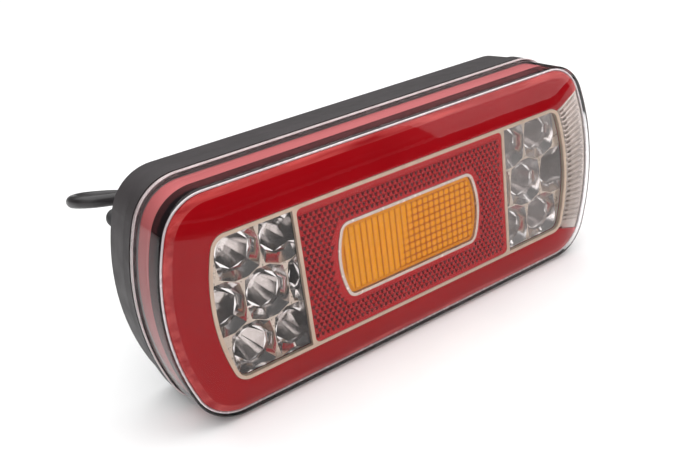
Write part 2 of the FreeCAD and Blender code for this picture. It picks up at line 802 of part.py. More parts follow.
def tube(name, points, diameter):
    """A round tube along a route; its volume has to match its section times its length."""
    path, radii = route_path(points)
    section = Part.Wire(Part.Circle(vec(*points[0]), path.Edges[0].tangentAt(0),
                                    diameter / 2).toShape())
    shape = path.makePipeShell([section], True, False)
    expected = math.pi * diameter ** 2 / 4 * path.Length
    if abs(shape.Volume / expected - 1) > 0.01:
        raise RuntimeError("%s: volume %.1f, expected %.1f" % (name, shape.Volume, expected))
    print("%s: length %.1f, smallest radius %.1f, radii %s"
          % (name, path.Length, min(radii), [round(radius, 1) for radius in radii]))
    item = doc.addObject("Part::Feature", name)
    item.Shape = shape
    item.Placement = FreeCAD.Placement()
    return item


def cable_coil(lead, tail):
    """The wound length as one ring, cut where the sheath runs in and out of it."""
    half_width = "cable_diameter + 0.2"
    cylinders = []
    for name, sign in (("CoilOuter", "+"), ("CoilInner", "-")):
        radius = "coil_mid_radius %s (%s)" % (sign, half_width)
        cylinders.append(primitive("Cylinder", name,
                                   {"Radius": radius, "Height": "cable_diameter * 2"},
                                   ("coil_x", "coil_y", "-shell_half_height")))
    ring_solid = cut("CoilRing", cylinders[0], cylinders[1])
    keep(cut("Coil", cut("CoilIn", ring_solid, lead), tail), "cable_coil")


def cable_tie():
    """Strap round the coil's section with its locking head on top."""
    width = "3.6"
    across = "cable_diameter * 2 + 3"
    middle = "coil_x + coil_mid_radius"
    outside = primitive("Box", "TieOuter",
                        {"Length": across, "Width": width, "Height": "cable_diameter * 2 + 1.2"},
                        (middle + " - (%s) / 2" % across, "coil_y - %s / 2" % width,
                         "-shell_half_height"))
    inside = primitive("Box", "TieInner",
                       {"Length": "cable_diameter * 2 + 0.6", "Width": width,
                        "Height": "cable_diameter * 2 + 0.1"},
                       (middle + " - cable_diameter - 0.3", "coil_y - %s / 2" % width,
                        "-shell_half_height"))
    strap = cut("TieStrap", outside, inside)
    head = primitive("Box", "TieHead", {"Length": "6", "Width": "5.4", "Height": "3.4"},
                     (middle + " - 3", "coil_y - 2.7",
                      "-shell_half_height + cable_diameter * 2 + 0.2"))
    keep(joined("CableTie", [strap, head]), "cable_tie")


def cable_cores():
    """Insulated cores that fan out of the sheath's cut end."""
    end = vec(*TAIL_ROUTE[-1])
    ahead = end.sub(vec(*TAIL_ROUTE[-2]))
    ahead.z = 0
    ahead.normalize()
    across = vec(-ahead.y, ahead.x, 0)
    diameter = size("core_diameter")
    cores = []
    for i in range(CORE_COUNT):
        angle = 2 * math.pi * i / CORE_COUNT
        radius = size("cable_diameter") / 2 - diameter / 2 - 0.3
        spread = i - (CORE_COUNT - 1) / 2
        root = end.add(across * (radius * math.sin(angle))) + vec(0, 0, radius * math.cos(angle))
        bend = root.add(ahead * (CORE_LENGTH * 0.45)).add(across * (spread * 0.8))
        tip = root.add(ahead * CORE_LENGTH).add(across * (spread * 4.0))
        tip.z = -size("shell_half_height") + diameter / 2 + 0.2
        bend.z = (root.z + tip.z) / 2
        route = [(point.x, point.y, point.z) for point in (root, bend, tip)]
        cores.append(tube("Core%d" % i, route, diameter))
    keep(group("CableCores", cores), "cable_cores")


def inner_wires():
    """The cable's cores inside the lamp, from the elbow's stem to the board's header."""
    diameter = size("core_diameter")
    wires = []
    for i in range(CORE_COUNT):
        row = i - (CORE_COUNT - 1) / 2
        x = size("outlet_x + 4")
        z = size("outlet_z") + row * 1.35
        y = -size("floor_level") - 2 - 0.1
        entry = -size("driver_level + board_thickness + 3")
        route = [(x, y, z), (x, -10.0, z), (x + 14, entry, z - 4 + row * 0.7),
                 (-80.0, entry, 16.0 + row * 2.1), (-65.1, entry, 16.0 + row * 2.1)]
        wires.append(tube("InnerWire%d" % i, route, diameter))
    keep(group("InnerWires", wires), "inner_wires")


def cable():
    diameter = size("cable_diameter")
    lead = keep(tube("CableLead", LEAD_ROUTE, diameter), "cable_lead")
    tail = keep(tube("CableTail", TAIL_ROUTE, diameter), "cable_tail")
    cable_coil(lead, tail)
    cable_tie()
    cable_cores()


# ---------------------------------------------------------------- assembly and output

def check():
    """Stop on any object that failed without raising and on any empty or invalid shape."""
    for item in doc.Objects:
        if "Invalid" in item.State or "Error" in item.State:
            raise RuntimeError("%s failed: %s" % (item.Label, item.State))
    for item in nodes:
        if item.Shape.isNull() or not item.Shape.isValid() or not item.Shape.Solids:
            raise RuntimeError(item.Label + " has no valid solid")


def write():
    os.makedirs(PARTS_FOLDER, exist_ok=True)
    for item in nodes:
        item.Shape.exportStep(os.path.join(PARTS_FOLDER, item.Label + ".step"))


rear_housing()
lens_seal()
outer_lens()
inner_bezel()
tail_light_guide()
optics_carrier()
front_ring()
panel_trim()
reflex_reflector()
indicator_window()
cup_reflector("LeftReflector", "left_reflector", -1)
cup_reflector("RightReflector", "right_reflector", 1)
led_board()
led_groups()
driver_board()
board_screws()
mounting_studs()
vent_plug()
cable_outlet()
inner_wires()
cable()
doc.recompute()
check()
write()
print("%d nodes" % len(nodes))
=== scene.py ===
import json
import math
import random

import bmesh
import bpy
from mathutils import Matrix, Vector


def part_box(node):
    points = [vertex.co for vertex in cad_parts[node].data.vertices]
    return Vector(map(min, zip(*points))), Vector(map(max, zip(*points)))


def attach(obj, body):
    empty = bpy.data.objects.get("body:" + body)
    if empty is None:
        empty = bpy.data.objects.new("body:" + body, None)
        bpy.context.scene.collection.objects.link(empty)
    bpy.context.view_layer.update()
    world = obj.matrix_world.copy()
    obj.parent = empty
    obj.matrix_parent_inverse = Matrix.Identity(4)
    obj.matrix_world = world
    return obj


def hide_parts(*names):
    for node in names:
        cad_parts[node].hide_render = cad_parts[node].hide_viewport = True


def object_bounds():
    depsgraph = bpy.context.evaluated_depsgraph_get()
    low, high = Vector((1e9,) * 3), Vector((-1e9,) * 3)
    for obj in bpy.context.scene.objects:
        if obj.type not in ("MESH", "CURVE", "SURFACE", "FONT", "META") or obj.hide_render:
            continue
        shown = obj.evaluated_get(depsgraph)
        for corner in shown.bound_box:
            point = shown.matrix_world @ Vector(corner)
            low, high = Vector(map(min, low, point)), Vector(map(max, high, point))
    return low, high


# Looks of a multi-function LED trailer tail light. The frame is the CAD model's: metres, +X along
# the lamp, the lit face towards -Y, +Z up. "Level" is the height above the flat back face,
# measured towards the lit face, in millimetres, as in the CAD model.

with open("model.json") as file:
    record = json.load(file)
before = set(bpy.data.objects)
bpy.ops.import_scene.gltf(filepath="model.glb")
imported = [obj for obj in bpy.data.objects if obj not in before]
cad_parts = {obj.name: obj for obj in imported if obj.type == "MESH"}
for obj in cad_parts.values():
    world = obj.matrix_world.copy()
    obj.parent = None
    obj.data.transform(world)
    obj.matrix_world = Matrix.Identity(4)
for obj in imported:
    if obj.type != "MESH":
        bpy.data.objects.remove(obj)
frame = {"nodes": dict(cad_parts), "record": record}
cad_low, cad_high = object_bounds()
nodes = frame["nodes"]
MM = 0.001
FLOOR_Z = cad_low.z

# ---------------------------------------------------------------- sizes in millimetres

# half length and half height, the radius of the bowed ends and of the corners, and the middle
SHELL = dict(length=120.0, height=51.0, bow=103.0, corner=22.6, x=0.0, z=0.0)
PANEL = dict(length=98.4, height=31.7, bow=88.0, corner=6.4, x=-0.7, z=-1.25)
AMBER = dict(length=39.6, height=17.4, bow=40.0, corner=5.0, x=-0.7, z=-1.25)
DIVIDER = 56.9
TRIM_WIDTH = 1.45
TRIM_OVERHANG = 0.4
CUP_PITCH_X = 20.0
CUP_PITCH_Z = 21.2
CUP_INNER = 63.0
FRONT_LEVEL = 51.0
GLASS_LEVEL = 49.2
TRAY_LEVEL = 46.2
BOARD_LEVEL = 20.6
FLANGE_LEVEL = 23.4
FLANGE_TOP = 25.4


def at(x, level, z):
    """A point in metres from its place along the lamp, its level and its height."""
    return Vector((x * MM, -level * MM, z * MM))


def around(x, z, radius, angle, level):
    """A point at a radius and an angle about an axis that runs through the lamp's front."""
    return at(x + radius * math.cos(angle), level, z + radius * math.sin(angle))


# ---------------------------------------------------------------- outlines

LINE_STEPS = 24
CORNER_STEPS = 16
END_STEPS = 30


def outline(family, inset=0.0):
    """Points of a bowed rectangle, always as many and in the same order, so outlines can mix."""
    a, b = family["length"] - inset, family["height"] - inset
    big, small = family["bow"] - inset, family["corner"] - inset
    lift = b - small
    reach = a - big + math.sqrt((big - small) ** 2 - lift ** 2)
    turn = math.atan2(lift, reach - (a - big))
    half = math.pi / 2
    points = []

    def arc(cx, cz, radius, start, end, steps):
        for i in range(steps):
            angle = start + (end - start) * i / steps
            points.append((cx + radius * math.cos(angle), cz + radius * math.sin(angle)))

    def line(x0, x1, z):
        for i in range(LINE_STEPS):
            points.append((x0 + (x1 - x0) * i / LINE_STEPS, z))

    line(-reach, reach, -b)
    arc(reach, -lift, small, -half, -turn, CORNER_STEPS)
    arc(a - big, 0.0, big, -turn, turn, END_STEPS)
    arc(reach, lift, small, turn, half, CORNER_STEPS)
    line(reach, -reach, b)
    arc(-reach, lift, small, half, math.pi - turn, CORNER_STEPS)
    arc(big - a, 0.0, big, math.pi - turn, math.pi + turn, END_STEPS)
    arc(-reach, -lift, small, math.pi + turn, math.pi + half, CORNER_STEPS)
    return [(x + family["x"], z + family["z"]) for x, z in points]


def mixed(first, second, share):
    """Points a share of the way from one outline to another."""
    return [(x0 + (x1 - x0) * share, z0 + (z1 - z0) * share)
            for (x0, z0), (x1, z1) in zip(first, second)]


def end_reach(family, z, inset=0.0):
    """How far the bowed right end of an outline stands out at a height."""
    a, b = family["length"] - inset, family["height"] - inset
    big, small = family["bow"] - inset, family["corner"] - inset
    lift = b - small
    reach = a - big + math.sqrt((big - small) ** 2 - lift ** 2)
    edge = big * lift / (big - small)
    dz = abs(z - family["z"])
    if dz <= edge:
        return a - big + math.sqrt(big ** 2 - dz ** 2)
    return reach + math.sqrt(max(small ** 2 - (dz - lift) ** 2, 0.0))


# ---------------------------------------------------------------- materials

def new_material(name):
    """An empty node tree with a Principled shader on its output."""
    material = bpy.data.materials.new(name)
    material.use_nodes = True
    tree = material.node_tree
    tree.nodes.clear()
    output = tree.nodes.new("ShaderNodeOutputMaterial")
    shader = tree.nodes.new("ShaderNodeBsdfPrincipled")
    tree.links.new(shader.outputs[0], output.inputs["Surface"])
    return material, tree, shader


def add_noise(tree, size_mm, detail=3.0, stretch=(1.0, 1.0, 1.0)):
    """Noise in the object's own space, whose features are about size_mm across."""
    place = tree.nodes.new("ShaderNodeTexCoord")
    mapping = tree.nodes.new("ShaderNodeMapping")
    mapping.inputs["Scale"].default_value = stretch
    noise = tree.nodes.new("ShaderNodeTexNoise")
    noise.inputs["Scale"].default_value = 1.0 / (size_mm * MM)
    noise.inputs["Detail"].default_value = detail
    tree.links.new(place.outputs["Object"], mapping.inputs["Vector"])
    tree.links.new(mapping.outputs[0], noise.inputs["Vector"])
    return noise.outputs["Fac"]


def spread(tree, source, low, high):
    """Map noise's middle range onto low to high."""
    node = tree.nodes.new("ShaderNodeMapRange")
    node.inputs["From Min"].default_value = 0.3
    node.inputs["From Max"].default_value = 0.7
    node.inputs["To Min"].default_value = low
    node.inputs["To Max"].default_value = high
    tree.links.new(source, node.inputs["Value"])
    return node.outputs[0]


def colour_mix(tree, factor, first, second):
    """Mix two colours, each of them given as three values or as another node's output."""
    node = tree.nodes.new("ShaderNodeMix")
    node.data_type = "RGBA"
    sockets = [socket for socket in node.inputs if socket.type == "RGBA"]
    for socket, value in zip(sockets, (first, second)):
        if isinstance(value, bpy.types.NodeSocket):
            tree.links.new(value, socket)
        else:
            socket.default_value = (*value, 1.0)
    tree.links.new(factor, node.inputs[0])
    return node.outputs[2]


def add_bump(tree, height, distance_mm, strength=1.0):
    """Turn a height pattern into dents and bumps about distance_mm deep."""
    node = tree.nodes.new("ShaderNodeBump")
    node.inputs["Strength"].default_value = strength
    node.inputs["Distance"].default_value = distance_mm * MM
    tree.links.new(height, node.inputs["Height"])
    return node.outputs[0]


def moulded(name, colour, other, roughness, rough_span=0.06, patch=8.0, grain=0.5, depth=0.01,
            stretch=(1.0, 1.0, 1.0), **sockets):
    """A moulded or coated surface: two close shades, uneven gloss and a fine grain."""
    material, tree, shader = new_material(name)
    shade = spread(tree, add_noise(tree, patch, stretch=stretch), 0.0, 1.0)
    tree.links.new(colour_mix(tree, shade, colour, other), shader.inputs["Base Color"])
    gloss = add_noise(tree, patch * 0.35, stretch=stretch)
    tree.links.new(spread(tree, gloss, roughness - rough_span, roughness + rough_span),
                   shader.inputs["Roughness"])
    fine = add_noise(tree, grain, detail=2.0, stretch=stretch)
    tree.links.new(add_bump(tree, fine, depth), shader.inputs["Normal"])
    for socket, value in sockets.items():
        shader.inputs[socket.replace("_", " ")].default_value = value
    return material


def clear_acrylic(name, ior=None):
    """Clear plastic: open to what is behind it, with a reflection that grows towards its edges."""
    material, tree, shader = new_material(name)
    shader.inputs["Metallic"].default_value = 1.0
    patch = spread(tree, add_noise(tree, 25.0, detail=2.0), 0.0, 1.0)
    tree.links.new(colour_mix(tree, patch, (0.93, 0.93, 0.93), (0.97, 0.97, 0.97)),
                   shader.inputs["Base Color"])
    tree.links.new(spread(tree, add_noise(tree, 20.0), 0.01, 0.035), shader.inputs["Roughness"])
    ripple = add_noise(tree, 16.0, detail=1.0)
    tree.links.new(add_bump(tree, ripple, 0.02, 0.5), shader.inputs["Normal"])
    output = next(node for node in tree.nodes if node.type == "OUTPUT_MATERIAL")
    open_air = tree.nodes.new("ShaderNodeBsdfTransparent")
    open_air.inputs["Color"].default_value = (0.985, 0.98, 0.98, 1.0)
    join = tree.nodes.new("ShaderNodeMixShader")
    join.inputs[0].default_value = 0.004
    if ior:
        fresnel = tree.nodes.new("ShaderNodeFresnel")
        fresnel.inputs["IOR"].default_value = ior
        tree.links.new(fresnel.outputs[0], join.inputs[0])
    tree.links.new(open_air.outputs[0], join.inputs[1])
    tree.links.new(shader.outputs[0], join.inputs[2])
    tree.links.new(join.outputs[0], output.inputs["Surface"])
    return material


def painted_shade_by_depth(name, dark, bright, roughness, grain, depth, **sockets):
    """Coloured plastic with painted shade in its pits and painted highlights on its tops; the mesh
    says how deep each point lies.
    """
    material, tree, shader = new_material(name)
    height = tree.nodes.new("ShaderNodeAttribute")
    height.attribute_name = "height"
    patch = add_noise(tree, 6.0)
    ramp = tree.nodes.new("ShaderNodeMapRange")
    ramp.inputs["From Min"].default_value = 0.15
    ramp.inputs["From Max"].default_value = 0.6
    tree.links.new(height.outputs["Fac"], ramp.inputs["Value"])
    # painted shade and highlight: low points get the dark colour, high points the bright one
    lit = colour_mix(tree, ramp.outputs[0], dark, bright)
    shade = spread(tree, patch, 0.0, 0.35)
    tree.links.new(colour_mix(tree, shade, lit, [value * 0.8 for value in bright]),
                   shader.inputs["Base Color"])
    tree.links.new(spread(tree, add_noise(tree, 2.0), roughness - 0.04, roughness + 0.06),
                   shader.inputs["Roughness"])
    tree.links.new(add_bump(tree, add_noise(tree, grain, detail=2.0), depth),
                   shader.inputs["Normal"])
    for socket, value in sockets.items():
        shader.inputs[socket.replace("_", " ")].default_value = value
    return material


MATERIALS = {
    "housing_black": moulded("textured_black", (0.031, 0.027, 0.028), (0.040, 0.034, 0.036),
                             0.55, 0.05, patch=20.0, grain=0.45, depth=0.035,
                             Specular_IOR_Level=0.35),
    "seal_grey": moulded("sealing_bead", (0.24, 0.23, 0.235), (0.30, 0.285, 0.29), 0.5),
    "clear_lens": clear_acrylic("clear_acrylic", 1.27),
    "bezel_black": moulded("gloss_black", (0.006, 0.005, 0.006), (0.012, 0.010, 0.012), 0.10,
                           patch=12.0, grain=9.0, depth=0.02, Specular_IOR_Level=0.4),
    "guide_red": moulded("light_guide", (0.60, 0.165, 0.17), (0.74, 0.25, 0.26), 0.25,
                         patch=30.0, grain=9.0, depth=0.02, stretch=(0.1, 1.6, 0.1),
                         Specular_IOR_Level=0.2),
    "carrier_grey": moulded("carrier_grey", (0.24, 0.23, 0.235), (0.30, 0.285, 0.29), 0.4),
    "lens_red": moulded("deep_red", (0.34, 0.0012, 0.005), (0.385, 0.002, 0.007), 0.22, 0.04,
                        patch=40.0, grain=6.0, depth=0.02, Specular_IOR_Level=0.06),
    "optic_clear": moulded("ribbed_optic", (0.50, 0.42, 0.375), (0.62, 0.545, 0.50), 0.2,
                           patch=3.0, grain=1.0, depth=0.02, Metallic=0.45),
    "trim_bright": moulded("satin_trim", (0.60, 0.46, 0.35), (0.68, 0.53, 0.41), 0.34, 0.05,
                           patch=5.0, grain=0.4, depth=0.006, Metallic=0.3),
    # painted shade in the prisms' pits and painted highlights on their corners, from the height
    # attribute
    "reflex_red": painted_shade_by_depth("reflex_prisms", (0.10, 0.003, 0.006), (0.50, 0.014, 0.018),
                                  0.22, 0.8, 0.01, Specular_IOR_Level=0.15),
    "rim_bright": moulded("bright_rim", (0.60, 0.50, 0.44), (0.70, 0.60, 0.53), 0.24, 0.05,
                          patch=5.0, grain=0.6, depth=0.006, Metallic=0.5),
    # painted highlights on the amber's flute and pillow tops and painted shade in its hollows, from
    # the height attribute
    "lens_amber": painted_shade_by_depth("amber_acrylic", (0.50, 0.09, 0.0), (1.0, 0.42, 0.001),
                                  0.2, 0.9, 0.03, Specular_IOR_Level=0.2,
                                  Transmission_Weight=0.12, IOR=1.49),
    "reflector_chrome": moulded("vacuum_metal", (0.86, 0.83, 0.82), (0.94, 0.92, 0.91), 0.09,
                                0.03, patch=4.0, grain=2.5, depth=0.012, Metallic=0.95),
    "board_green": moulded("solder_resist", (0.01, 0.05, 0.02), (0.015, 0.08, 0.03), 0.35),
    "led_body": moulded("led_phosphor", (0.62, 0.40, 0.12), (0.70, 0.52, 0.22), 0.3, patch=1.5),
    "component_black": moulded("component_black", (0.02, 0.02, 0.02), (0.04, 0.04, 0.04), 0.45),
    "header_white": moulded("nylon_white", (0.74, 0.73, 0.69), (0.82, 0.81, 0.78), 0.4),
    "zinc_steel": moulded("zinc_plate", (0.56, 0.57, 0.58), (0.68, 0.67, 0.64), 0.3, 0.08,
                          patch=2.5, grain=0.25, depth=0.01, Metallic=1.0),
    "rubber_black": moulded("matt_rubber", (0.022, 0.021, 0.022), (0.036, 0.034, 0.035), 0.55,
                            grain=0.3, depth=0.02),
    "wire_insulation": moulded("wire_insulation", (0.35, 0.12, 0.02), (0.42, 0.16, 0.03), 0.35),
    "cable_sheath": moulded("cable_sheath", (0.018, 0.016, 0.017), (0.030, 0.027, 0.028), 0.36,
                            0.06, patch=7.0, grain=0.8, depth=0.02),
    "tie_black": moulded("nylon_black", (0.015, 0.015, 0.015), (0.03, 0.03, 0.03), 0.4),
}
CLEAR_INSIDE = clear_acrylic("clear_inside")
# painted highlight: a pale pink band for the light that the lens flange's edge catches
FLANGE = moulded("painted_flange_highlight", (0.56, 0.48, 0.48), (0.70, 0.62, 0.62), 0.3, patch=6.0,
                 grain=0.7, depth=0.03)
# painted highlight: a bright silver line for the light that the lens's rounded shoulder shows
SHOULDER_HIGHLIGHT = moulded("painted_shoulder_highlight", (0.66, 0.61, 0.63), (0.74, 0.70, 0.72), 0.25, patch=6.0,
                   grain=0.7, depth=0.01, Metallic=0.3)
# painted shade: a darker red for the one face of each prism that turns away from the light
REFLEX_PAINTED_SHADE = moulded("reflex_painted_shade", (0.085, 0.004, 0.006), (0.14, 0.007, 0.010), 0.25,
                      patch=14.0, grain=0.8, depth=0.01, Specular_IOR_Level=0.15)
# painted highlight: a paler, streaky red for the light along the ring's rounded edge
RING_EDGE_HIGHLIGHT = moulded("ring_edge_highlight", (0.30, 0.006, 0.010), (0.60, 0.085, 0.08), 0.24, patch=1.6,
                    grain=1.2, depth=0.02, stretch=(0.05, 1.0, 0.4), Specular_IOR_Level=0.1)
# painted shade: a dimmer, rougher copy of the cups' chrome for the right cups, which these lights
# make brighter than the left ones
CHROME_PAINTED_SHADE = moulded("chrome_painted_shade", (0.80, 0.77, 0.76), (0.90, 0.87, 0.86), 0.12, 0.04,
                      patch=4.0, grain=2.5, depth=0.012, Metallic=0.80)
# painted reflection and shade: a darker, warm beige satin for the flat tray between the cups,
# standing in for the surroundings it mirrors
TRAY_PAINTED_REFLECTION = moulded("tray_painted_reflection", (0.52, 0.43, 0.36), (0.64, 0.55, 0.47), 0.3, patch=5.0,
                    grain=3.0, depth=0.01, Metallic=0.5)


# ---------------------------------------------------------------- mesh helpers

def finish_piece(piece, slot, replaced=(), angle=30.0, material=None, second=None):
    """Shade a new piece, give it its slot's material and let it ride with the lamp."""
    if piece.type == "MESH":
        piece.data.shade_smooth()
        piece.data.set_sharp_from_angle(angle=math.radians(angle))
    piece.data.materials.append(material or MATERIALS[slot])
    if second:
        piece.data.materials.append(second)
    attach(piece, "root")
    if replaced:
        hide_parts(*replaced)
    return piece


def object_from(name, bm):
    """A new object in the scene, made from an edited mesh with its faces turned outwards."""
    mesh = bpy.data.meshes.new(name)
    bmesh.ops.recalc_face_normals(bm, faces=bm.faces)
    bm.to_mesh(mesh)
    bm.free()
    piece = bpy.data.objects.new(name, mesh)
    bpy.context.scene.collection.objects.link(piece)
    return piece


def add_rings(bm, rings, closed=False):
    """Bridge rings of equally many points with quads; closed joins the last ring to the first."""
    rows = [[bm.verts.new(point) for point in ring] for ring in rings]
    pairs = list(zip(rows, rows[1:]))
    if closed:
        pairs.append((rows[-1], rows[0]))
    for lower, upper in pairs:
        for i in range(len(lower)):
            j = (i + 1) % len(lower)
            bm.faces.new((lower[i], lower[j], upper[j], upper[i]))
    return rows


def section_ring(inset, level, share=0.0, panel_inset=-1.0):
    """The lamp's outline at an inset, mixed towards the panel's outline by a share."""
    points = outline(SHELL, inset)
    if share:
        points = mixed(points, outline(PANEL, panel_inset), share)
    return [at(x, level, z) for x, z in points]


# ---------------------------------------------------------------- clear outer lens

WALL_INSET = 1.15
SHOULDER_INSET = 1.3
INNER_INSET = 2.3
WALL_MIDDLE = 36.0
FLANGE_EDGE = 0.25
SHOULDER_RADIUS = 2.2
INNER_RADIUS = 1.0
SHOULDER_START = 45.4
SHOULDER_TURN = math.radians(71.0)
SHOULDER_STEPS = 8
CROWN_STEPS = 12


def crown(share):
    """How much of the front's rise is reached; steep at the rim and nearly flat at the panel."""
    return share * (1.45 - 0.45 * share)


def shoulder_rings(inset, level, radius):
    """Inset and level of each ring round a shoulder, from its foot at the side wall."""
    rings = []
    for i in range(SHOULDER_STEPS + 1):
        angle = SHOULDER_TURN * i / SHOULDER_STEPS
        rings.append((inset + radius * (1.0 - math.cos(angle)), level + radius * math.sin(angle)))
    return rings


def front_rings(inset, level, radius, top, panel_inset):
    """Rings from a shoulder's foot over the crown to the panel's outline."""
    corner = shoulder_rings(inset, level, radius)
    rings = [section_ring(i, lev) for i, lev in corner]
    foot_inset, foot_level = corner[-1]
    for i in range(1, CROWN_STEPS + 1):
        share = i / CROWN_STEPS
        rings.append(section_ring(foot_inset, foot_level + (top - foot_level) * crown(share),
                                  share, panel_inset))
    return rings


def outer_lens():
    """Flange, side wall, rounded shoulder, crowned front and flat window, with real thickness."""
    bm = bmesh.new()
    outside = [section_ring(i, lev) for i, lev in (
        (INNER_INSET, FLANGE_LEVEL), (FLANGE_EDGE, FLANGE_LEVEL), (0.0, FLANGE_LEVEL + FLANGE_EDGE),
        (0.0, FLANGE_TOP - FLANGE_EDGE), (FLANGE_EDGE, FLANGE_TOP), (0.7, FLANGE_TOP + 0.05),
        (0.95, FLANGE_TOP + 0.4), (WALL_INSET, WALL_MIDDLE))]
    outside += front_rings(SHOULDER_INSET, SHOULDER_START, SHOULDER_RADIUS, FRONT_LEVEL, -1.0)
    inside = [section_ring(INNER_INSET, level) for level in (FLANGE_LEVEL + 0.2, WALL_MIDDLE)]
    inside += front_rings(INNER_INSET, SHOULDER_START - 0.2, INNER_RADIUS, GLASS_LEVEL, -0.5)
    front = add_rings(bm, outside)
    bm.faces.new(front[-1])
    bm.faces.ensure_lookup_table()
    outer_count = len(bm.faces)
    back = add_rings(bm, inside)
    bm.faces.new(back[-1])
    for i in range(len(front[0])):
        j = (i + 1) % len(front[0])
        bm.faces.new((front[0][i], back[0][i], back[0][j], front[0][j]))
    for face in list(bm.faces)[outer_count:]:
        face.material_index = 1
    piece = object_from("clear_lens", bm)
    return finish_piece(piece, "clear_lens", ("outer_lens",), angle=28.0, second=CLEAR_INSIDE)


# ---------------------------------------------------------------- red ring and ribbed end

RING_INSET = 3.5
RING_BACK = 43.4
RING_RADIUS = 0.9
RING_INNER = -0.7
EDGE_BANDS = 11
CUT_X = PANEL["x"] + PANEL["length"] - 4.3
CUT_TOP = PANEL["z"] + PANEL["height"] - 0.9
CUT_LOW = PANEL["z"] - PANEL["height"] - 0.3
TOP_SLOPE = 0.32
LOW_SLOPE = 0.36


def ring_blank():
    """The full ring just under the lens's front; its outermost bands are a streaky, paler red, a
    painted highlight along the ring's rounded edge.
    """
    bm = bmesh.new()
    rings = [section_ring(RING_INSET, RING_BACK)]
    rings += front_rings(RING_INSET, SHOULDER_START - 0.5, RING_RADIUS, GLASS_LEVEL - 0.2,
                         RING_INNER)
    rings.append(section_ring(0.0, RING_BACK, 1.0, RING_INNER))
    add_rings(bm, rings, closed=True)
    per_ring = len(rings[0])
    # the rounded edge's bands take the paler red of the painted highlight
    for index, face in enumerate(bm.faces):
        if 1 <= index // per_ring < EDGE_BANDS:
            face.material_index = 1
    return bm


def cut_end(bm):
    """Take away the ring's right end between two slanted planes and close the cuts."""
    for sign, height, slope in ((1.0, CUT_TOP, TOP_SLOPE), (-1.0, CUT_LOW, LOW_SLOPE)):
        faces = [face for face in bm.faces if face.calc_center_median().x > DIVIDER * MM
                 and sign * face.calc_center_median().z > 0.0]
        edges = {edge for face in faces for edge in face.edges}
        verts = {vert for face in faces for vert in face.verts}
        normal = Vector((-slope, 0.0, sign)).normalized()
        bmesh.ops.bisect_plane(bm, geom=faces + list(edges) + list(verts), dist=1e-7,
                               plane_co=at(CUT_X, 0.0, height), plane_no=normal,
                               clear_inner=True)
    holes = [edge for edge in bm.edges if edge.is_boundary]
    bmesh.ops.holes_fill(bm, edges=holes, sides=0)


def red_ring():
    """Red C-shaped lens, open at the right end."""
    bm = ring_blank()
    cut_end(bm)
    piece = object_from("red_ring", bm)
    return finish_piece(piece, "lens_red", ("red_ring_lens",), angle=35.0, second=RING_EDGE_HIGHLIGHT)


def end_optic():
    """Clear right end: fine ribs, with a column of short teeth beside the panel."""
    rib_count = 26
    steps_along = 30
    per_rib = 8
    rim_level = 45.6
    top = GLASS_LEVEL - 0.3
    rib_height = 0.75
    tooth_depth = 1.6
    plain_foot = 0.07
    first_guess = 100.0
    bm = bmesh.new()
    rows = []
    for i in range(rib_count * per_rib + 1):
        rise = i / (rib_count * per_rib)
        row = []
        for j in range(steps_along + 1):
            share = j / steps_along
            x = first_guess
            for _ in range(4):
                high = CUT_TOP + (x - CUT_X) * TOP_SLOPE - 0.1
                low = CUT_LOW - (x - CUT_X) * LOW_SLOPE + 0.1
                z = low + (high - low) * rise
                near = end_reach(PANEL, z, -0.8) + PANEL["x"]
                far = end_reach(SHELL, z, 3.6) + SHELL["x"]
                x = near + (far - near) * share
            level = rim_level + (top - rim_level) * crown(1.0 - share) - 0.8
            wave = abs(math.sin(math.pi * rise * rib_count))
            if rise > plain_foot and 0.06 < share < 0.9:
                level += rib_height * wave ** 0.6
                if 0.10 < share < 0.26 and wave < 0.62:
                    level -= tooth_depth
            row.append(bm.verts.new(at(x, level, z)))
        rows.append(row)
    for lower, upper in zip(rows, rows[1:]):
        for j in range(steps_along):
            bm.faces.new((lower[j], lower[j + 1], upper[j + 1], upper[j]))
    piece = object_from("end_optic", bm)
    return finish_piece(piece, "optic_clear", ("end_rib_optic",), angle=25.0)


def shoulder_highlight_bead():
    """Bright bead that runs round the front just under the lens's shoulder: a painted highlight for
    the light line along the lens's rounded shoulder.
    """
    bm = bmesh.new()
    sides = 10
    inset, level, radius = 2.95, 45.0, 0.5
    rings = []
    for i in range(sides):
        angle = 2.0 * math.pi * i / sides
        rings.append(section_ring(inset + radius * math.cos(angle),
                                  level + radius * math.sin(angle)))
    add_rings(bm, rings, closed=True)
    piece = object_from("shoulder_highlight_bead", bm)
    return finish_piece(piece, "rim_bright", angle=40.0, material=SHOULDER_HIGHLIGHT)


def flange_highlight_bead():
    """Bright band on the edge of the lens's flange: a painted highlight for the light that gathers
    there.
    """
    bm = bmesh.new()
    add_rings(bm, [section_ring(inset, level) for inset, level in (
        (0.5, FLANGE_LEVEL + 0.1), (0.1, FLANGE_LEVEL + 0.1), (0.03, FLANGE_LEVEL + 0.4),
        (0.03, FLANGE_TOP - 0.35), (0.1, FLANGE_TOP - 0.1), (0.5, FLANGE_TOP - 0.1))],
        closed=True)
    piece = object_from("flange_highlight_bead", bm)
    return finish_piece(piece, "clear_lens", angle=40.0, material=FLANGE)


# ---------------------------------------------------------------- flat plates from outlines

def rounded_box(left, right, low, high, radius, steps=8):
    """Outline of a rectangle with rounded corners, from the lower left."""
    points = []
    for cx, cz, start in ((left + radius, low + radius, 180), (right - radius, low + radius, 270),
                          (right - radius, high - radius, 0), (left + radius, high - radius, 90)):
        for i in range(steps + 1):
            angle = math.radians(start + 90.0 * i / steps)
            points.append((cx + radius * math.cos(angle), cz + radius * math.sin(angle)))
    return points


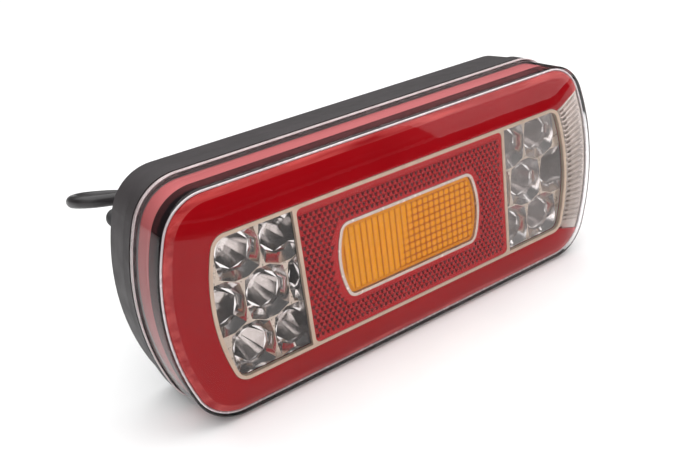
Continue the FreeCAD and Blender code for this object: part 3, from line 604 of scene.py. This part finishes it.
def window_outline(side, inset):
    """An end window between its divider and the panel's bowed end."""
    near = DIVIDER + TRIM_WIDTH / 2 + inset
    shrink = TRIM_WIDTH - TRIM_OVERHANG + inset
    high = PANEL["height"] - shrink
    points = [(x, z) for x, z in outline(dict(PANEL, x=0.0, z=0.0), shrink) if x > near]
    points.sort(key=lambda point: math.atan2(point[1], point[0] - near))
    points = [(near, -high)] + points + [(near, high)]
    return [(side * x + PANEL["x"], z + PANEL["z"]) for x, z in points]


def plate(name, loops, low, high, bevel=0.0):
    """A flat plate between two levels, with the first loop outside and the others as holes."""
    curve = bpy.data.curves.new(name + "_outline", "CURVE")
    curve.dimensions = "2D"
    curve.fill_mode = "BOTH"
    curve.extrude = (high - low) / 2 * MM - bevel * MM
    curve.bevel_depth = bevel * MM
    curve.bevel_resolution = 1
    for loop in loops:
        spline = curve.splines.new("POLY")
        spline.points.add(len(loop) - 1)
        for point, (x, z) in zip(spline.points, loop):
            point.co = (x * MM, z * MM, 0.0, 1.0)
        spline.use_cyclic_u = True
    shape = bpy.data.objects.new(name + "_shape", curve)
    bpy.context.scene.collection.objects.link(shape)
    bpy.context.view_layer.update()
    evaluated = shape.evaluated_get(bpy.context.evaluated_depsgraph_get())
    mesh = bpy.data.meshes.new_from_object(evaluated)
    bpy.data.objects.remove(shape)
    mesh.name = name
    mesh.transform(Matrix.Translation(at(0.0, (low + high) / 2, 0.0))
                   @ Matrix.Rotation(math.pi / 2, 4, "X"))
    piece = bpy.data.objects.new(name, mesh)
    bpy.context.scene.collection.objects.link(piece)
    return piece


def reflex_half_sizes(inset):
    """Half length and half height of the middle window inside the trim."""
    return DIVIDER - TRIM_WIDTH / 2 - inset, PANEL["height"] - TRIM_WIDTH + TRIM_OVERHANG - inset


def reflex_box(inset, radius):
    """Rounded outline of the middle window."""
    half, rise = reflex_half_sizes(inset)
    return rounded_box(PANEL["x"] - half, PANEL["x"] + half, PANEL["z"] - rise,
                       PANEL["z"] + rise, radius)


def panel_trim():
    """Bright frame round the panel with a divider on either side of its middle."""
    loops = [outline(PANEL, -TRIM_OVERHANG), window_outline(-1, 0.0), window_outline(1, 0.0),
             reflex_box(0.0, 2.6)]
    piece = plate("trim_frame", loops, TRAY_LEVEL + 1.0, GLASS_LEVEL - 0.12, bevel=0.12)
    return finish_piece(piece, "trim_bright", ("panel_trim",), angle=25.0)


# ---------------------------------------------------------------- red retro-reflector

PRISM_PITCH = 2.6
PRISM_DEPTH = 0.375


def inside_box(x, z, inset):
    """Whether a point lies in the middle window, an inset away from the trim."""
    half, rise = reflex_half_sizes(inset)
    return abs(x - PANEL["x"]) < half and abs(z - PANEL["z"]) < rise


def inside_amber(x, z, inset):
    """Whether a point lies in the amber window's outline at an inset."""
    rise = AMBER["height"] - inset
    if abs(z - AMBER["z"]) >= rise:
        return False
    return abs(x - AMBER["x"]) < end_reach(AMBER, z, inset)


def reflex_plate():
    """Red plate covered with hexagonal prisms of three faces, one given a darker red as painted
    shade; smooth at its edges.
    """
    top = GLASS_LEVEL - 0.45
    loops = [reflex_box(0.1, 2.5), outline(AMBER, -0.1)]
    piece = plate("reflex_plate", loops, TRAY_LEVEL, top, bevel=0.1)
    bm = bmesh.new()
    bm.from_mesh(piece.data)
    tall = bm.verts.layers.float.new("height")
    # the height attribute also sets the painted shade: the flat plate a light share, prism centres
    # the darkest, high corners the brightest
    for vert in bm.verts:
        vert[tall] = 0.75
    reach = PRISM_PITCH / math.sqrt(3.0)
    row_step = reach * 1.5
    row_count = int(2 * PANEL["height"] / row_step) + 1
    column_count = int(2 * DIVIDER / PRISM_PITCH) + 1
    corner_heights = (0.5, 1.0)
    seat = top + 0.02
    for row in range(row_count):
        z = PANEL["z"] - PANEL["height"] + row * row_step
        for column in range(column_count):
            x = PANEL["x"] - DIVIDER + (column + 0.5 * (row % 2)) * PRISM_PITCH
            if not inside_box(x, z, 1.6) or inside_amber(x, z, -2.1):
                continue
            centre = bm.verts.new(at(x, seat, z))
            centre[tall] = 0.0
            corners = []
            for i in range(6):
                angle = math.radians(30.0 + 60.0 * i)
                share = corner_heights[i % 2]
                vert = bm.verts.new(around(x, z, reach, angle, seat + PRISM_DEPTH * share))
                vert[tall] = share
                corners.append(vert)
            for i in (0, 2, 4):
                face = bm.faces.new((centre, corners[i], corners[i + 1], corners[(i + 2) % 6]))
                # the third face of each prism gets the darker red of painted shade
                face.material_index = 1 if i == 2 else 0
    bm.to_mesh(piece.data)
    bm.free()
    return finish_piece(piece, "reflex_red", ("reflex_reflector",), angle=12.0,
                        second=REFLEX_PAINTED_SHADE)


# ---------------------------------------------------------------- amber window

def amber_height(x, z, border):
    """Flutes on the left, pillows on the right and a smooth edge; 0 to 1."""
    pitch = 3.1
    flute = abs(math.cos(math.pi * x / pitch)) ** 0.7
    pillow = flute * abs(math.cos(math.pi * z / pitch)) ** 0.7
    blend = min(max((x + 4.0 - 0.35 * z) / 8.0 + 0.5, 0.0), 1.0)
    return (flute * (1.0 - blend) + pillow * blend) * border


def amber_lens():
    """Amber lens on a fine grid, with flutes, pillows and a smooth border."""
    inset = 1.5
    step = 0.25
    foot = GLASS_LEVEL - 1.35
    relief = 0.75
    border_width = 1.6
    border_tone = 0.4
    rise = AMBER["height"] - inset
    row_count = int(2 * rise / step)
    column_count = int(2 * AMBER["length"] / step)
    chance = random.Random(5)
    bm = bmesh.new()
    tall = bm.verts.layers.float.new("height")
    rows = []
    for i in range(row_count + 1):
        z = -rise + 2 * rise * i / row_count
        limit = end_reach(dict(AMBER, z=0.0), min(abs(z), rise - 1e-4), inset)
        row = []
        for j in range(column_count + 1):
            x = -AMBER["length"] + 2 * AMBER["length"] * j / column_count
            x = min(max(x, -limit), limit)
            edge = min(rise - abs(z), limit - abs(x))
            border = min(max((edge - border_width) / 0.5, 0.0), 1.0)
            height = amber_height(x, z, border)
            grain = chance.uniform(-0.04, 0.04) * border
            rim = 1.0 - min(edge / 0.5, 1.0)
            level = foot + relief * height + grain - 0.3 * rim + 0.35 * (border < 0.5)
            vert = bm.verts.new(at(x + AMBER["x"], level, z + AMBER["z"]))
            # the height also sets the painted highlight and shade; the smooth border gets a fixed
            # middle share
            vert[tall] = border_tone if border < 0.5 else height
            row.append(vert)
        rows.append(row)
    for lower, upper in zip(rows, rows[1:]):
        for j in range(column_count):
            bm.faces.new((lower[j], lower[j + 1], upper[j + 1], upper[j]))
    bmesh.ops.remove_doubles(bm, verts=bm.verts, dist=1e-6)
    piece = object_from("amber_window", bm)
    return finish_piece(piece, "lens_amber", ("amber_lens",), angle=50.0)


# ---------------------------------------------------------------- faceted reflectors

CUP_SIDES = 12
CUP_TURN = math.radians(15.0)
CUP_REACH = 12.4
CUP_WALL = 0.14
BAND_RADIUS = 8.3
BAND_DEPTH = 2.9
LIP_DEPTH = 4.3
LIP_STEP = 0.45
FOOT_LEVEL = 25.8
SECTOR_STEPS = 7
SECTOR_FOOT = 2.4


def cup_centres(side):
    """Two, three and two cups behind one end window, the first of the three half hidden."""
    for row in (-1, 0, 1):
        shift = CUP_INNER + (CUP_PITCH_X / 2 if row == 0 else 0.0)
        for column in (-1, 0, 1) if row == 0 else (0, 1):
            yield (PANEL["x"] + side * (shift + column * CUP_PITCH_X),
                   PANEL["z"] + row * CUP_PITCH_Z)


def cell_reach(angle):
    """How far a cup's opening reaches, short of the half-way lines to its six neighbours."""
    reach = CUP_REACH
    for dx, dz in ((1, 0), (-1, 0), (0.5, 1), (-0.5, 1), (0.5, -1), (-0.5, -1)):
        gap_x, gap_z = dx * CUP_PITCH_X, dz * CUP_PITCH_Z
        along = math.cos(angle - math.atan2(gap_z, gap_x))
        if along > 0.3:
            reach = min(reach, math.hypot(gap_x, gap_z) / 2 / along - CUP_WALL)
    return reach


def polygon_ring(bm, x, z, level, reach):
    """Twelve corners about a cup's centre; reach gives the distance at each angle."""
    ring = []
    for i in range(CUP_SIDES):
        angle = CUP_TURN + 2 * math.pi * i / CUP_SIDES
        ring.append(bm.verts.new(around(x, z, reach(angle), angle, level)))
    return ring


def bridge(bm, outer, inner):
    """Join two closed rings of vertices with quads."""
    for i in range(len(outer)):
        j = (i + 1) % len(outer)
        bm.faces.new((outer[i], outer[j], inner[j], inner[i]))


def cup(bm, x, z, chance):
    """One reflector cup: a slanted band of quads, a thin steep band and six curved sectors."""
    band_radius = BAND_RADIUS + chance.uniform(-0.15, 0.15)
    lip_radius = band_radius - LIP_STEP
    lip_level = TRAY_LEVEL - LIP_DEPTH
    opening = polygon_ring(bm, x, z, TRAY_LEVEL, cell_reach)
    band = polygon_ring(bm, x, z, TRAY_LEVEL - BAND_DEPTH, lambda angle: band_radius)
    lip = polygon_ring(bm, x, z, lip_level, lambda angle: lip_radius)
    bridge(bm, opening, band)
    bridge(bm, band, lip)
    twist = chance.uniform(-0.12, 0.12)
    bulge = chance.uniform(1.35, 1.7)
    ridges = []
    for step in range(SECTOR_STEPS + 1):
        share = 1.0 - step / SECTOR_STEPS
        radius = SECTOR_FOOT + (lip_radius - SECTOR_FOOT) * share
        level = FOOT_LEVEL + (lip_level - FOOT_LEVEL) * share ** bulge
        ridge = []
        for i in range(0, CUP_SIDES, 2):
            if step == 0:
                ridge.append(lip[i])
                continue
            angle = CUP_TURN + 2 * math.pi * i / CUP_SIDES + twist * (1.0 - share)
            ridge.append(bm.verts.new(around(x, z, radius, angle, level)))
        ridges.append(ridge)
    for i in range(0, CUP_SIDES, 2):
        bm.faces.new((lip[i], lip[i + 1], lip[(i + 2) % CUP_SIDES]))
    for outer, inner in zip(ridges, ridges[1:]):
        bridge(bm, outer, inner)
    return opening


def clip_convex(bm, points):
    """Trim a mesh to the inside of a convex outline."""
    count = len(points)
    cx = sum(x for x, _ in points) / count
    cz = sum(z for _, z in points) / count
    for (x0, z0), (x1, z1) in zip(points, points[1:] + points[:1]):
        length = math.hypot(x1 - x0, z1 - z0)
        if length < 0.05:
            continue
        normal = Vector((z1 - z0, 0.0, x0 - x1)) / length
        if normal.x * (cx - x0) + normal.z * (cz - z0) > 0:
            normal = -normal
        bmesh.ops.bisect_plane(bm, geom=bm.verts[:] + bm.edges[:] + bm.faces[:], dist=1e-8,
                               plane_co=at(x0, 0.0, z0), plane_no=normal, clear_outer=True)


def cup_cluster(name, node, side, seed, chrome=None):
    """Faceted cups in one bright tray, trimmed to the window with a skirt behind it; the flat tray
    between the cups carries painted reflection and shade.
    """
    chance = random.Random(seed)
    bm = bmesh.new()
    loops = []
    for x, z in cup_centres(side):
        loops.append(cup(bm, x, z, chance))
    near, far = (PANEL["x"] + side * reach for reach in (38.0, 106.0))
    low, high = -36.0, 34.0
    corners = [bm.verts.new(at(x, TRAY_LEVEL, z)) for x, z in
               ((near, low), (far, low), (far, high), (near, high))]
    edges = [bm.edges.new((corners[i], corners[(i + 1) % 4])) for i in range(4)]
    for loop in loops:
        for i in range(CUP_SIDES):
            edges.append(bm.edges.get((loop[i], loop[(i + 1) % CUP_SIDES])))
    filled = bmesh.ops.triangle_fill(bm, use_beauty=True, edges=edges)["geom"]
    # the flat tray between the cups gets the beige of painted reflection and shade
    for face in filled:
        if isinstance(face, bmesh.types.BMFace):
            face.material_index = 1
    window = window_outline(side, 0.15)
    clip_convex(bm, window)
    skirt = [[bm.verts.new(at(x, level, z)) for x, z in window]
             for level in (TRAY_LEVEL + 0.6, BOARD_LEVEL + 2.6)]
    bridge(bm, skirt[0], skirt[1])
    piece = object_from(name, bm)
    # a chrome passed in is a copy with painted shade
    return finish_piece(piece, "reflector_chrome", (node,), angle=24.0, material=chrome,
                        second=TRAY_PAINTED_REFLECTION)


# ---------------------------------------------------------------- threaded studs

STUD_SPACING = 152.0


def stud(bm, x):
    """A threaded bar with a chamfered end and the hexagon head inside the housing."""
    sides = 32
    pitch = 1.0
    rows = 176
    length = 22.0
    thread_radius, thread_depth, end_radius = 3.0, 0.55, 2.1
    rings = []
    for i in range(rows + 1):
        along = length * i / rows
        ring = []
        for j in range(sides):
            angle = 2 * math.pi * j / sides
            phase = (along / pitch - j / sides) % 1.0
            depth = thread_depth * abs(2.0 * phase - 1.0)
            radius = min(thread_radius - depth, end_radius + (length - along) * 1.2)
            ring.append(around(x, 0.0, radius, angle, -along))
        rings.append(ring)
    rows = add_rings(bm, rings)
    bm.faces.new(rows[-1])
    bm.faces.new(rows[0])
    head = [[around(x, 0.0, radius, math.radians(60 * j), level) for j in range(6)]
            for radius, level in ((5.7, 3.0), (5.7, 6.5), (5.1, 7.0))]
    rows = add_rings(bm, head)
    bm.faces.new(rows[0])
    bm.faces.new(rows[-1])


def mounting_studs():
    """The two studs that hold the lamp."""
    bm = bmesh.new()
    for x in (-STUD_SPACING / 2, STUD_SPACING / 2):
        stud(bm, x)
    piece = object_from("threaded_studs", bm)
    return finish_piece(piece, "zinc_steel", ("mounting_studs",), angle=35.0)


# ---------------------------------------------------------------- cable

CABLE_DIAMETER = 0.006
LEAD_ROUTE = [
    (-0.0839, 0.008, 0.0283), (-0.0700, 0.008, 0.0280), (-0.0583, 0.020, 0.0255),
    (-0.0583, 0.0365, 0.0215), (-0.0700, 0.048, 0.0176), (-0.1010, 0.048, 0.0227),
    (-0.1094, 0.0565, 0.0226), (-0.1094, 0.0685, 0.0198), (-0.1008, 0.0775, 0.0166),
    (-0.0780, 0.0785, 0.0105), (-0.0540, 0.072, -0.0020), (-0.0320, 0.064, -0.0200),
    (-0.0120, 0.0604, -0.0385), (0.0050, 0.0605, -0.0476), (0.0220, 0.061, -0.0479),
]
TAIL_ROUTE = [(0.0220, 0.129, -0.0420), (0.0060, 0.1293, -0.0436), (-0.0100, 0.1312, -0.0473),
              (-0.0260, 0.1358, -0.0479)]
COIL_CENTRE = (0.022, 0.095)
COIL_POINTS = 16
# radius and height of each turn, outer then inner below, inner then half an outer turn above
COIL_TURNS = [(0.034, -0.048), (0.028, -0.048), (0.028, -0.042), (0.034, -0.042)]
COIL_STEPS = COIL_POINTS * 7 // 2


def coil_points():
    """Control points of three and a half turns; each turn eases into the next near its end."""
    points = []
    for i in range(1, COIL_STEPS):
        turn, step = divmod(i, COIL_POINTS)
        radius, height = COIL_TURNS[turn]
        if turn + 1 < len(COIL_TURNS):
            ease = max(step / COIL_POINTS - 0.75, 0.0) / 0.25
            ease = ease * ease * (3.0 - 2.0 * ease)
            radius += (COIL_TURNS[turn + 1][0] - radius) * ease
            height += (COIL_TURNS[turn + 1][1] - height) * ease
        reach = radius / math.cos(math.pi / COIL_POINTS)
        angle = 2 * math.pi * i / COIL_POINTS - math.pi / 2
        points.append((COIL_CENTRE[0] + reach * math.cos(angle),
                       COIL_CENTRE[1] + reach * math.sin(angle), height))
    return points


def cord_curve(name, points, diameter):
    """A round cord on one smooth spline through its route."""
    curve = bpy.data.curves.new(name, "CURVE")
    curve.dimensions = "3D"
    curve.bevel_depth = diameter / 2
    curve.bevel_resolution = 5
    curve.resolution_u = 8
    curve.use_fill_caps = True
    spline = curve.splines.new("NURBS")
    spline.points.add(len(points) - 1)
    for point, place in zip(spline.points, points):
        point.co = (*place, 1.0)
    spline.order_u = 3
    spline.use_endpoint_u = True
    piece = bpy.data.objects.new(name, curve)
    bpy.context.scene.collection.objects.link(piece)
    return piece


def cores():
    """Five insulated cores that fan out of the cut sheath, with bare copper ends."""
    colours = {"white": (0.70, 0.69, 0.66), "yellow": (0.70, 0.50, 0.03),
               "green": (0.03, 0.26, 0.07), "red": (0.45, 0.02, 0.02),
               "brown": (0.13, 0.05, 0.02)}
    copper = moulded("bare_copper", (0.75, 0.36, 0.20), (0.85, 0.45, 0.27), 0.28, patch=1.0,
                     grain=0.3, depth=0.02, Metallic=1.0)
    end = Vector(TAIL_ROUTE[-1])
    ahead = end - Vector(TAIL_ROUTE[-2])
    ahead.z = 0.0
    ahead.normalize()
    across = Vector((-ahead.y, ahead.x, 0.0))
    length = 0.026
    bare = 0.006
    diameter = 0.0017
    circle = 0.00185
    pieces = []
    for i, (colour, value) in enumerate(colours.items()):
        angle = 2 * math.pi * i / len(colours)
        root = end + across * (circle * math.sin(angle)) + Vector((0, 0, circle * math.cos(angle)))
        spread_out = i - (len(colours) - 1) / 2
        bend = root + ahead * (length * 0.45) + across * (spread_out * 0.0008)
        tip = root + ahead * length + across * (spread_out * 0.004)
        tip.z = FLOOR_Z + diameter / 2 + 0.0002
        bend.z = (root.z + tip.z) / 2
        stop = bend + (tip - bend) * (1.0 - bare / (tip - bend).length)
        core = cord_curve("core_" + colour, [root - ahead * 0.001, bend, stop], diameter)
        other = tuple(channel * 0.85 for channel in value)
        pieces.append(finish_piece(core, "wire_insulation",
                                   material=moulded("core_" + colour, value, other, 0.35)))
        end_piece = cord_curve("strand_" + colour, [stop - (tip - stop) * 0.1, tip],
                               diameter * 0.6)
        pieces.append(finish_piece(end_piece, "wire_insulation", material=copper))
    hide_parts("cable_cores")
    return pieces


def cable_tie():
    """Toothed strap round the coil with its locking head on top."""
    cx, cy, cz = 53.0, 95.0, -45.0
    half_x, low, high, corner = 7.3, -5.9, 6.4, 2.2
    half_width, thickness, tooth_depth = 1.8, 0.9, 0.12
    loop = rounded_box(-half_x, half_x, low, high, corner, steps=6)
    bm = bmesh.new()
    rings = []
    dense = []
    for (x0, z0), (x1, z1) in zip(loop, loop[1:] + loop[:1]):
        count = max(int(math.hypot(x1 - x0, z1 - z0) / 0.5), 1)
        dense += [(x0 + (x1 - x0) * i / count, z0 + (z1 - z0) * i / count) for i in range(count)]
    for edge, share in ((-half_width, 0.0), (-half_width, 1.0), (half_width, 1.0),
                        (half_width, 0.0)):
        ring = []
        for i, (x, z) in enumerate(dense):
            tooth = tooth_depth * (i % 2) * share
            thick = (thickness - tooth) * (1.0 - share)
            scale = 1.0 - thick / math.hypot(x, z)
            ring.append(Vector(((cx + x * scale) * MM, (cy + edge) * MM, (cz + z * scale) * MM)))
        rings.append(ring)
    add_rings(bm, rings, closed=True)
    head = bmesh.ops.create_cube(bm, size=1.0)["verts"]
    bmesh.ops.scale(bm, vec=(6 * MM, 5.4 * MM, 3.2 * MM), verts=head)
    bmesh.ops.translate(bm, vec=Vector((cx * MM, cy * MM, (cz + 7.9) * MM)), verts=head)
    edges = list({edge for vert in head for edge in vert.link_edges})
    bmesh.ops.bevel(bm, geom=edges, offset=0.6 * MM, segments=3, affect="EDGES", profile=0.5)
    piece = object_from("tie_strap", bm)
    return finish_piece(piece, "tie_black", ("cable_tie",), angle=35.0)


def revolve(bm, profile, origin, axis, side, steps=28):
    """Turn a list of (distance along the axis, radius) about the axis, with closed ends."""
    axis = Vector(axis)
    side = Vector(side)
    third = axis.cross(side)
    rings = []
    for along, radius in profile:
        ring = []
        for i in range(steps):
            angle = 2 * math.pi * i / steps
            ring.append((Vector(origin) + axis * along
                         + (side * math.cos(angle) + third * math.sin(angle)) * radius) * MM)
        rings.append(ring)
    rows = add_rings(bm, rings)
    bm.faces.new(rows[0])
    bm.faces.new(rows[-1])


def cable_outlet():
    """Rubber elbow with a rounded shoulder and a ribbed, tapered sleeve for the cable."""
    low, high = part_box("cable_outlet")
    radius = 4.1
    x, y, z = low.x / MM + radius, 8.0, 28.3
    profile = [(-radius * math.cos(math.radians(angle)), radius * math.sin(math.radians(angle)))
               for angle in range(5, 91, 10)]
    profile += [(7.0, radius), (8.0, radius - 0.1)]
    rib_pitch = 2.4
    for rib in range(7):
        start = 8.4 + rib * rib_pitch
        taper = radius - 0.75 * rib / 7
        profile += [(start, taper - 0.55), (start + 0.5, taper - 0.6), (start + 0.8, taper - 0.05),
                    (start + 1.9, taper - 0.08), (start + 2.2, taper - 0.5)]
    profile += [(high.x / MM - x - 0.1, 3.4), (high.x / MM - x, 3.2)]
    bm = bmesh.new()
    revolve(bm, profile, (x, y, z), (1, 0, 0), (0, 1, 0))
    stem = [(-12.5, radius), (-0.5, radius), (0.2, radius)]
    revolve(bm, stem, (x + 4.0, y, z), (0, 1, 0), (0, 0, 1))
    piece = object_from("outlet_boot", bm)
    return finish_piece(piece, "rubber_black", ("cable_outlet",), angle=35.0)


def cable():
    """The whole lead on one spline, with its outlet, tie and cores."""
    route = LEAD_ROUTE + coil_points() + TAIL_ROUTE
    piece = cord_curve("cable", route, CABLE_DIAMETER)
    finish_piece(piece, "cable_sheath", ("cable_lead", "cable_coil", "cable_tail"))
    with_pieces = [cable_outlet(), cable_tie(), *cores()]


# ---------------------------------------------------------------- stage, lights and camera

def make_floor():
    """A plain pale floor under the lamp and its cable."""
    bm = bmesh.new()
    corners = [(-6, -6), (6, -6), (6, 6), (-6, 6)]
    bm.faces.new([bm.verts.new((x, y, FLOOR_Z)) for x, y in corners])
    piece = object_from("floor", bm)
    material, tree, shader = new_material("pale_floor")
    shade = spread(tree, add_noise(tree, 60.0), 0.0, 1.0)
    tree.links.new(colour_mix(tree, shade, (0.86, 0.86, 0.86), (0.89, 0.89, 0.89)),
                   shader.inputs["Base Color"])
    tree.links.new(spread(tree, add_noise(tree, 15.0), 0.65, 0.75), shader.inputs["Roughness"])
    piece.data.materials.append(material)


def aim(item, place, target):
    """Point a lamp or a card at a target."""
    direction = Vector(target) - Vector(place)
    turn = direction.to_track_quat("-Z", "Y").to_matrix().to_4x4()
    item.matrix_world = Matrix.Translation(place) @ turn


def soft_box(name, place, size, power, target=(0.0, 0.0, 0.0)):
    """A rectangular lamp that points at a target."""
    lamp = bpy.data.lights.new(name, "AREA")
    lamp.shape = "RECTANGLE"
    lamp.size, lamp.size_y = size
    lamp.energy = power
    item = bpy.data.objects.new(name, lamp)
    bpy.context.scene.collection.objects.link(item)
    aim(item, place, target)
    return item


def dark_card(name, place, size, target):
    """A black card that only shows in polished surfaces, as a studio's dark side does."""
    bm = bmesh.new()
    width, height = size[0] / 2, size[1] / 2
    bm.faces.new([bm.verts.new((x, y, 0.0)) for x, y in
                  ((-width, -height), (width, -height), (width, height), (-width, height))])
    piece = object_from(name, bm)
    material, tree, shader = new_material(name)
    shade = spread(tree, add_noise(tree, 50.0), 0.0, 1.0)
    tree.links.new(colour_mix(tree, shade, (0.01, 0.01, 0.01), (0.02, 0.02, 0.02)),
                   shader.inputs["Base Color"])
    shader.inputs["Specular IOR Level"].default_value = 0.0
    piece.data.materials.append(material)
    aim(piece, place, target)
    piece.visible_camera = False
    piece.visible_diffuse = False
    piece.visible_shadow = False


def make_lights():
    """A wide box overhead, one at each side and one in front, and a fill that nothing mirrors."""
    world = bpy.data.worlds.new("studio")
    world.use_nodes = True
    background = world.node_tree.nodes["Background"]
    background.inputs["Color"].default_value = (1.0, 1.0, 1.0, 1.0)
    background.inputs["Strength"].default_value = 0.07
    bpy.context.scene.world = world
    soft_box("top_box", (0.3, 0.7, 2.4), (5.0, 5.0), 165.0, (0.3, 0.7, 0.0))
    soft_box("left_box", (-1.6, -0.5, 0.8), (1.4, 1.5), 3.6)
    soft_box("right_box", (1.5, -0.9, 0.6), (1.6, 1.4), 14.0)
    soft_box("front_box", (0.9, -2.2, 1.0), (3.0, 0.9), 4.5)
    fill = soft_box("fill_box", (-0.5, -1.5, 0.7), (1.4, 1.2), 11.5)
    fill.visible_glossy = False
    dark_card("table_end", (0.35, -1.1, FLOOR_Z + 0.003), (2.4, 1.3), (0.35, -1.1, -1.0))


def make_camera():
    """The photographer's place: left of the lamp, above it, with the camera a little rolled."""
    data = bpy.data.cameras.new("camera")
    data.sensor_width = 36.0
    data.lens = 45.11
    data.clip_start = 0.01
    camera = bpy.data.objects.new("camera", data)
    bpy.context.scene.collection.objects.link(camera)
    azimuth, elevation, roll = (math.radians(angle) for angle in (-32.98, 24.10, -7.54))
    camera.matrix_world = (Matrix.Translation((-0.21327, -0.32666, 0.15847))
                           @ Matrix.Rotation(azimuth, 4, "Z")
                           @ Matrix.Rotation(math.pi / 2 - elevation, 4, "X")
                           @ Matrix.Rotation(roll, 4, "Z"))
    bpy.context.scene.camera = camera


# ---------------------------------------------------------------- build

def dress_cad_nodes():
    """Every CAD node gets the material of its slot in the record."""
    slots = {part["node"]: part["material_slot"] for part in frame["record"]["subparts"]}
    for name, node in nodes.items():
        node.data.materials.clear()
        node.data.materials.append(MATERIALS[slots[name]])


make_camera()
make_floor()
make_lights()
dress_cad_nodes()
cable()
outer_lens()
red_ring()
end_optic()
shoulder_highlight_bead()
flange_highlight_bead()
panel_trim()
reflex_plate()
amber_lens()
cup_cluster("left_cups", "left_reflector", -1, 3)
# the right cups get the chrome copy with painted shade
cup_cluster("right_cups", "right_reflector", 1, 8, CHROME_PAINTED_SHADE)
mounting_studs()
bpy.context.scene.view_settings.view_transform = "Standard"
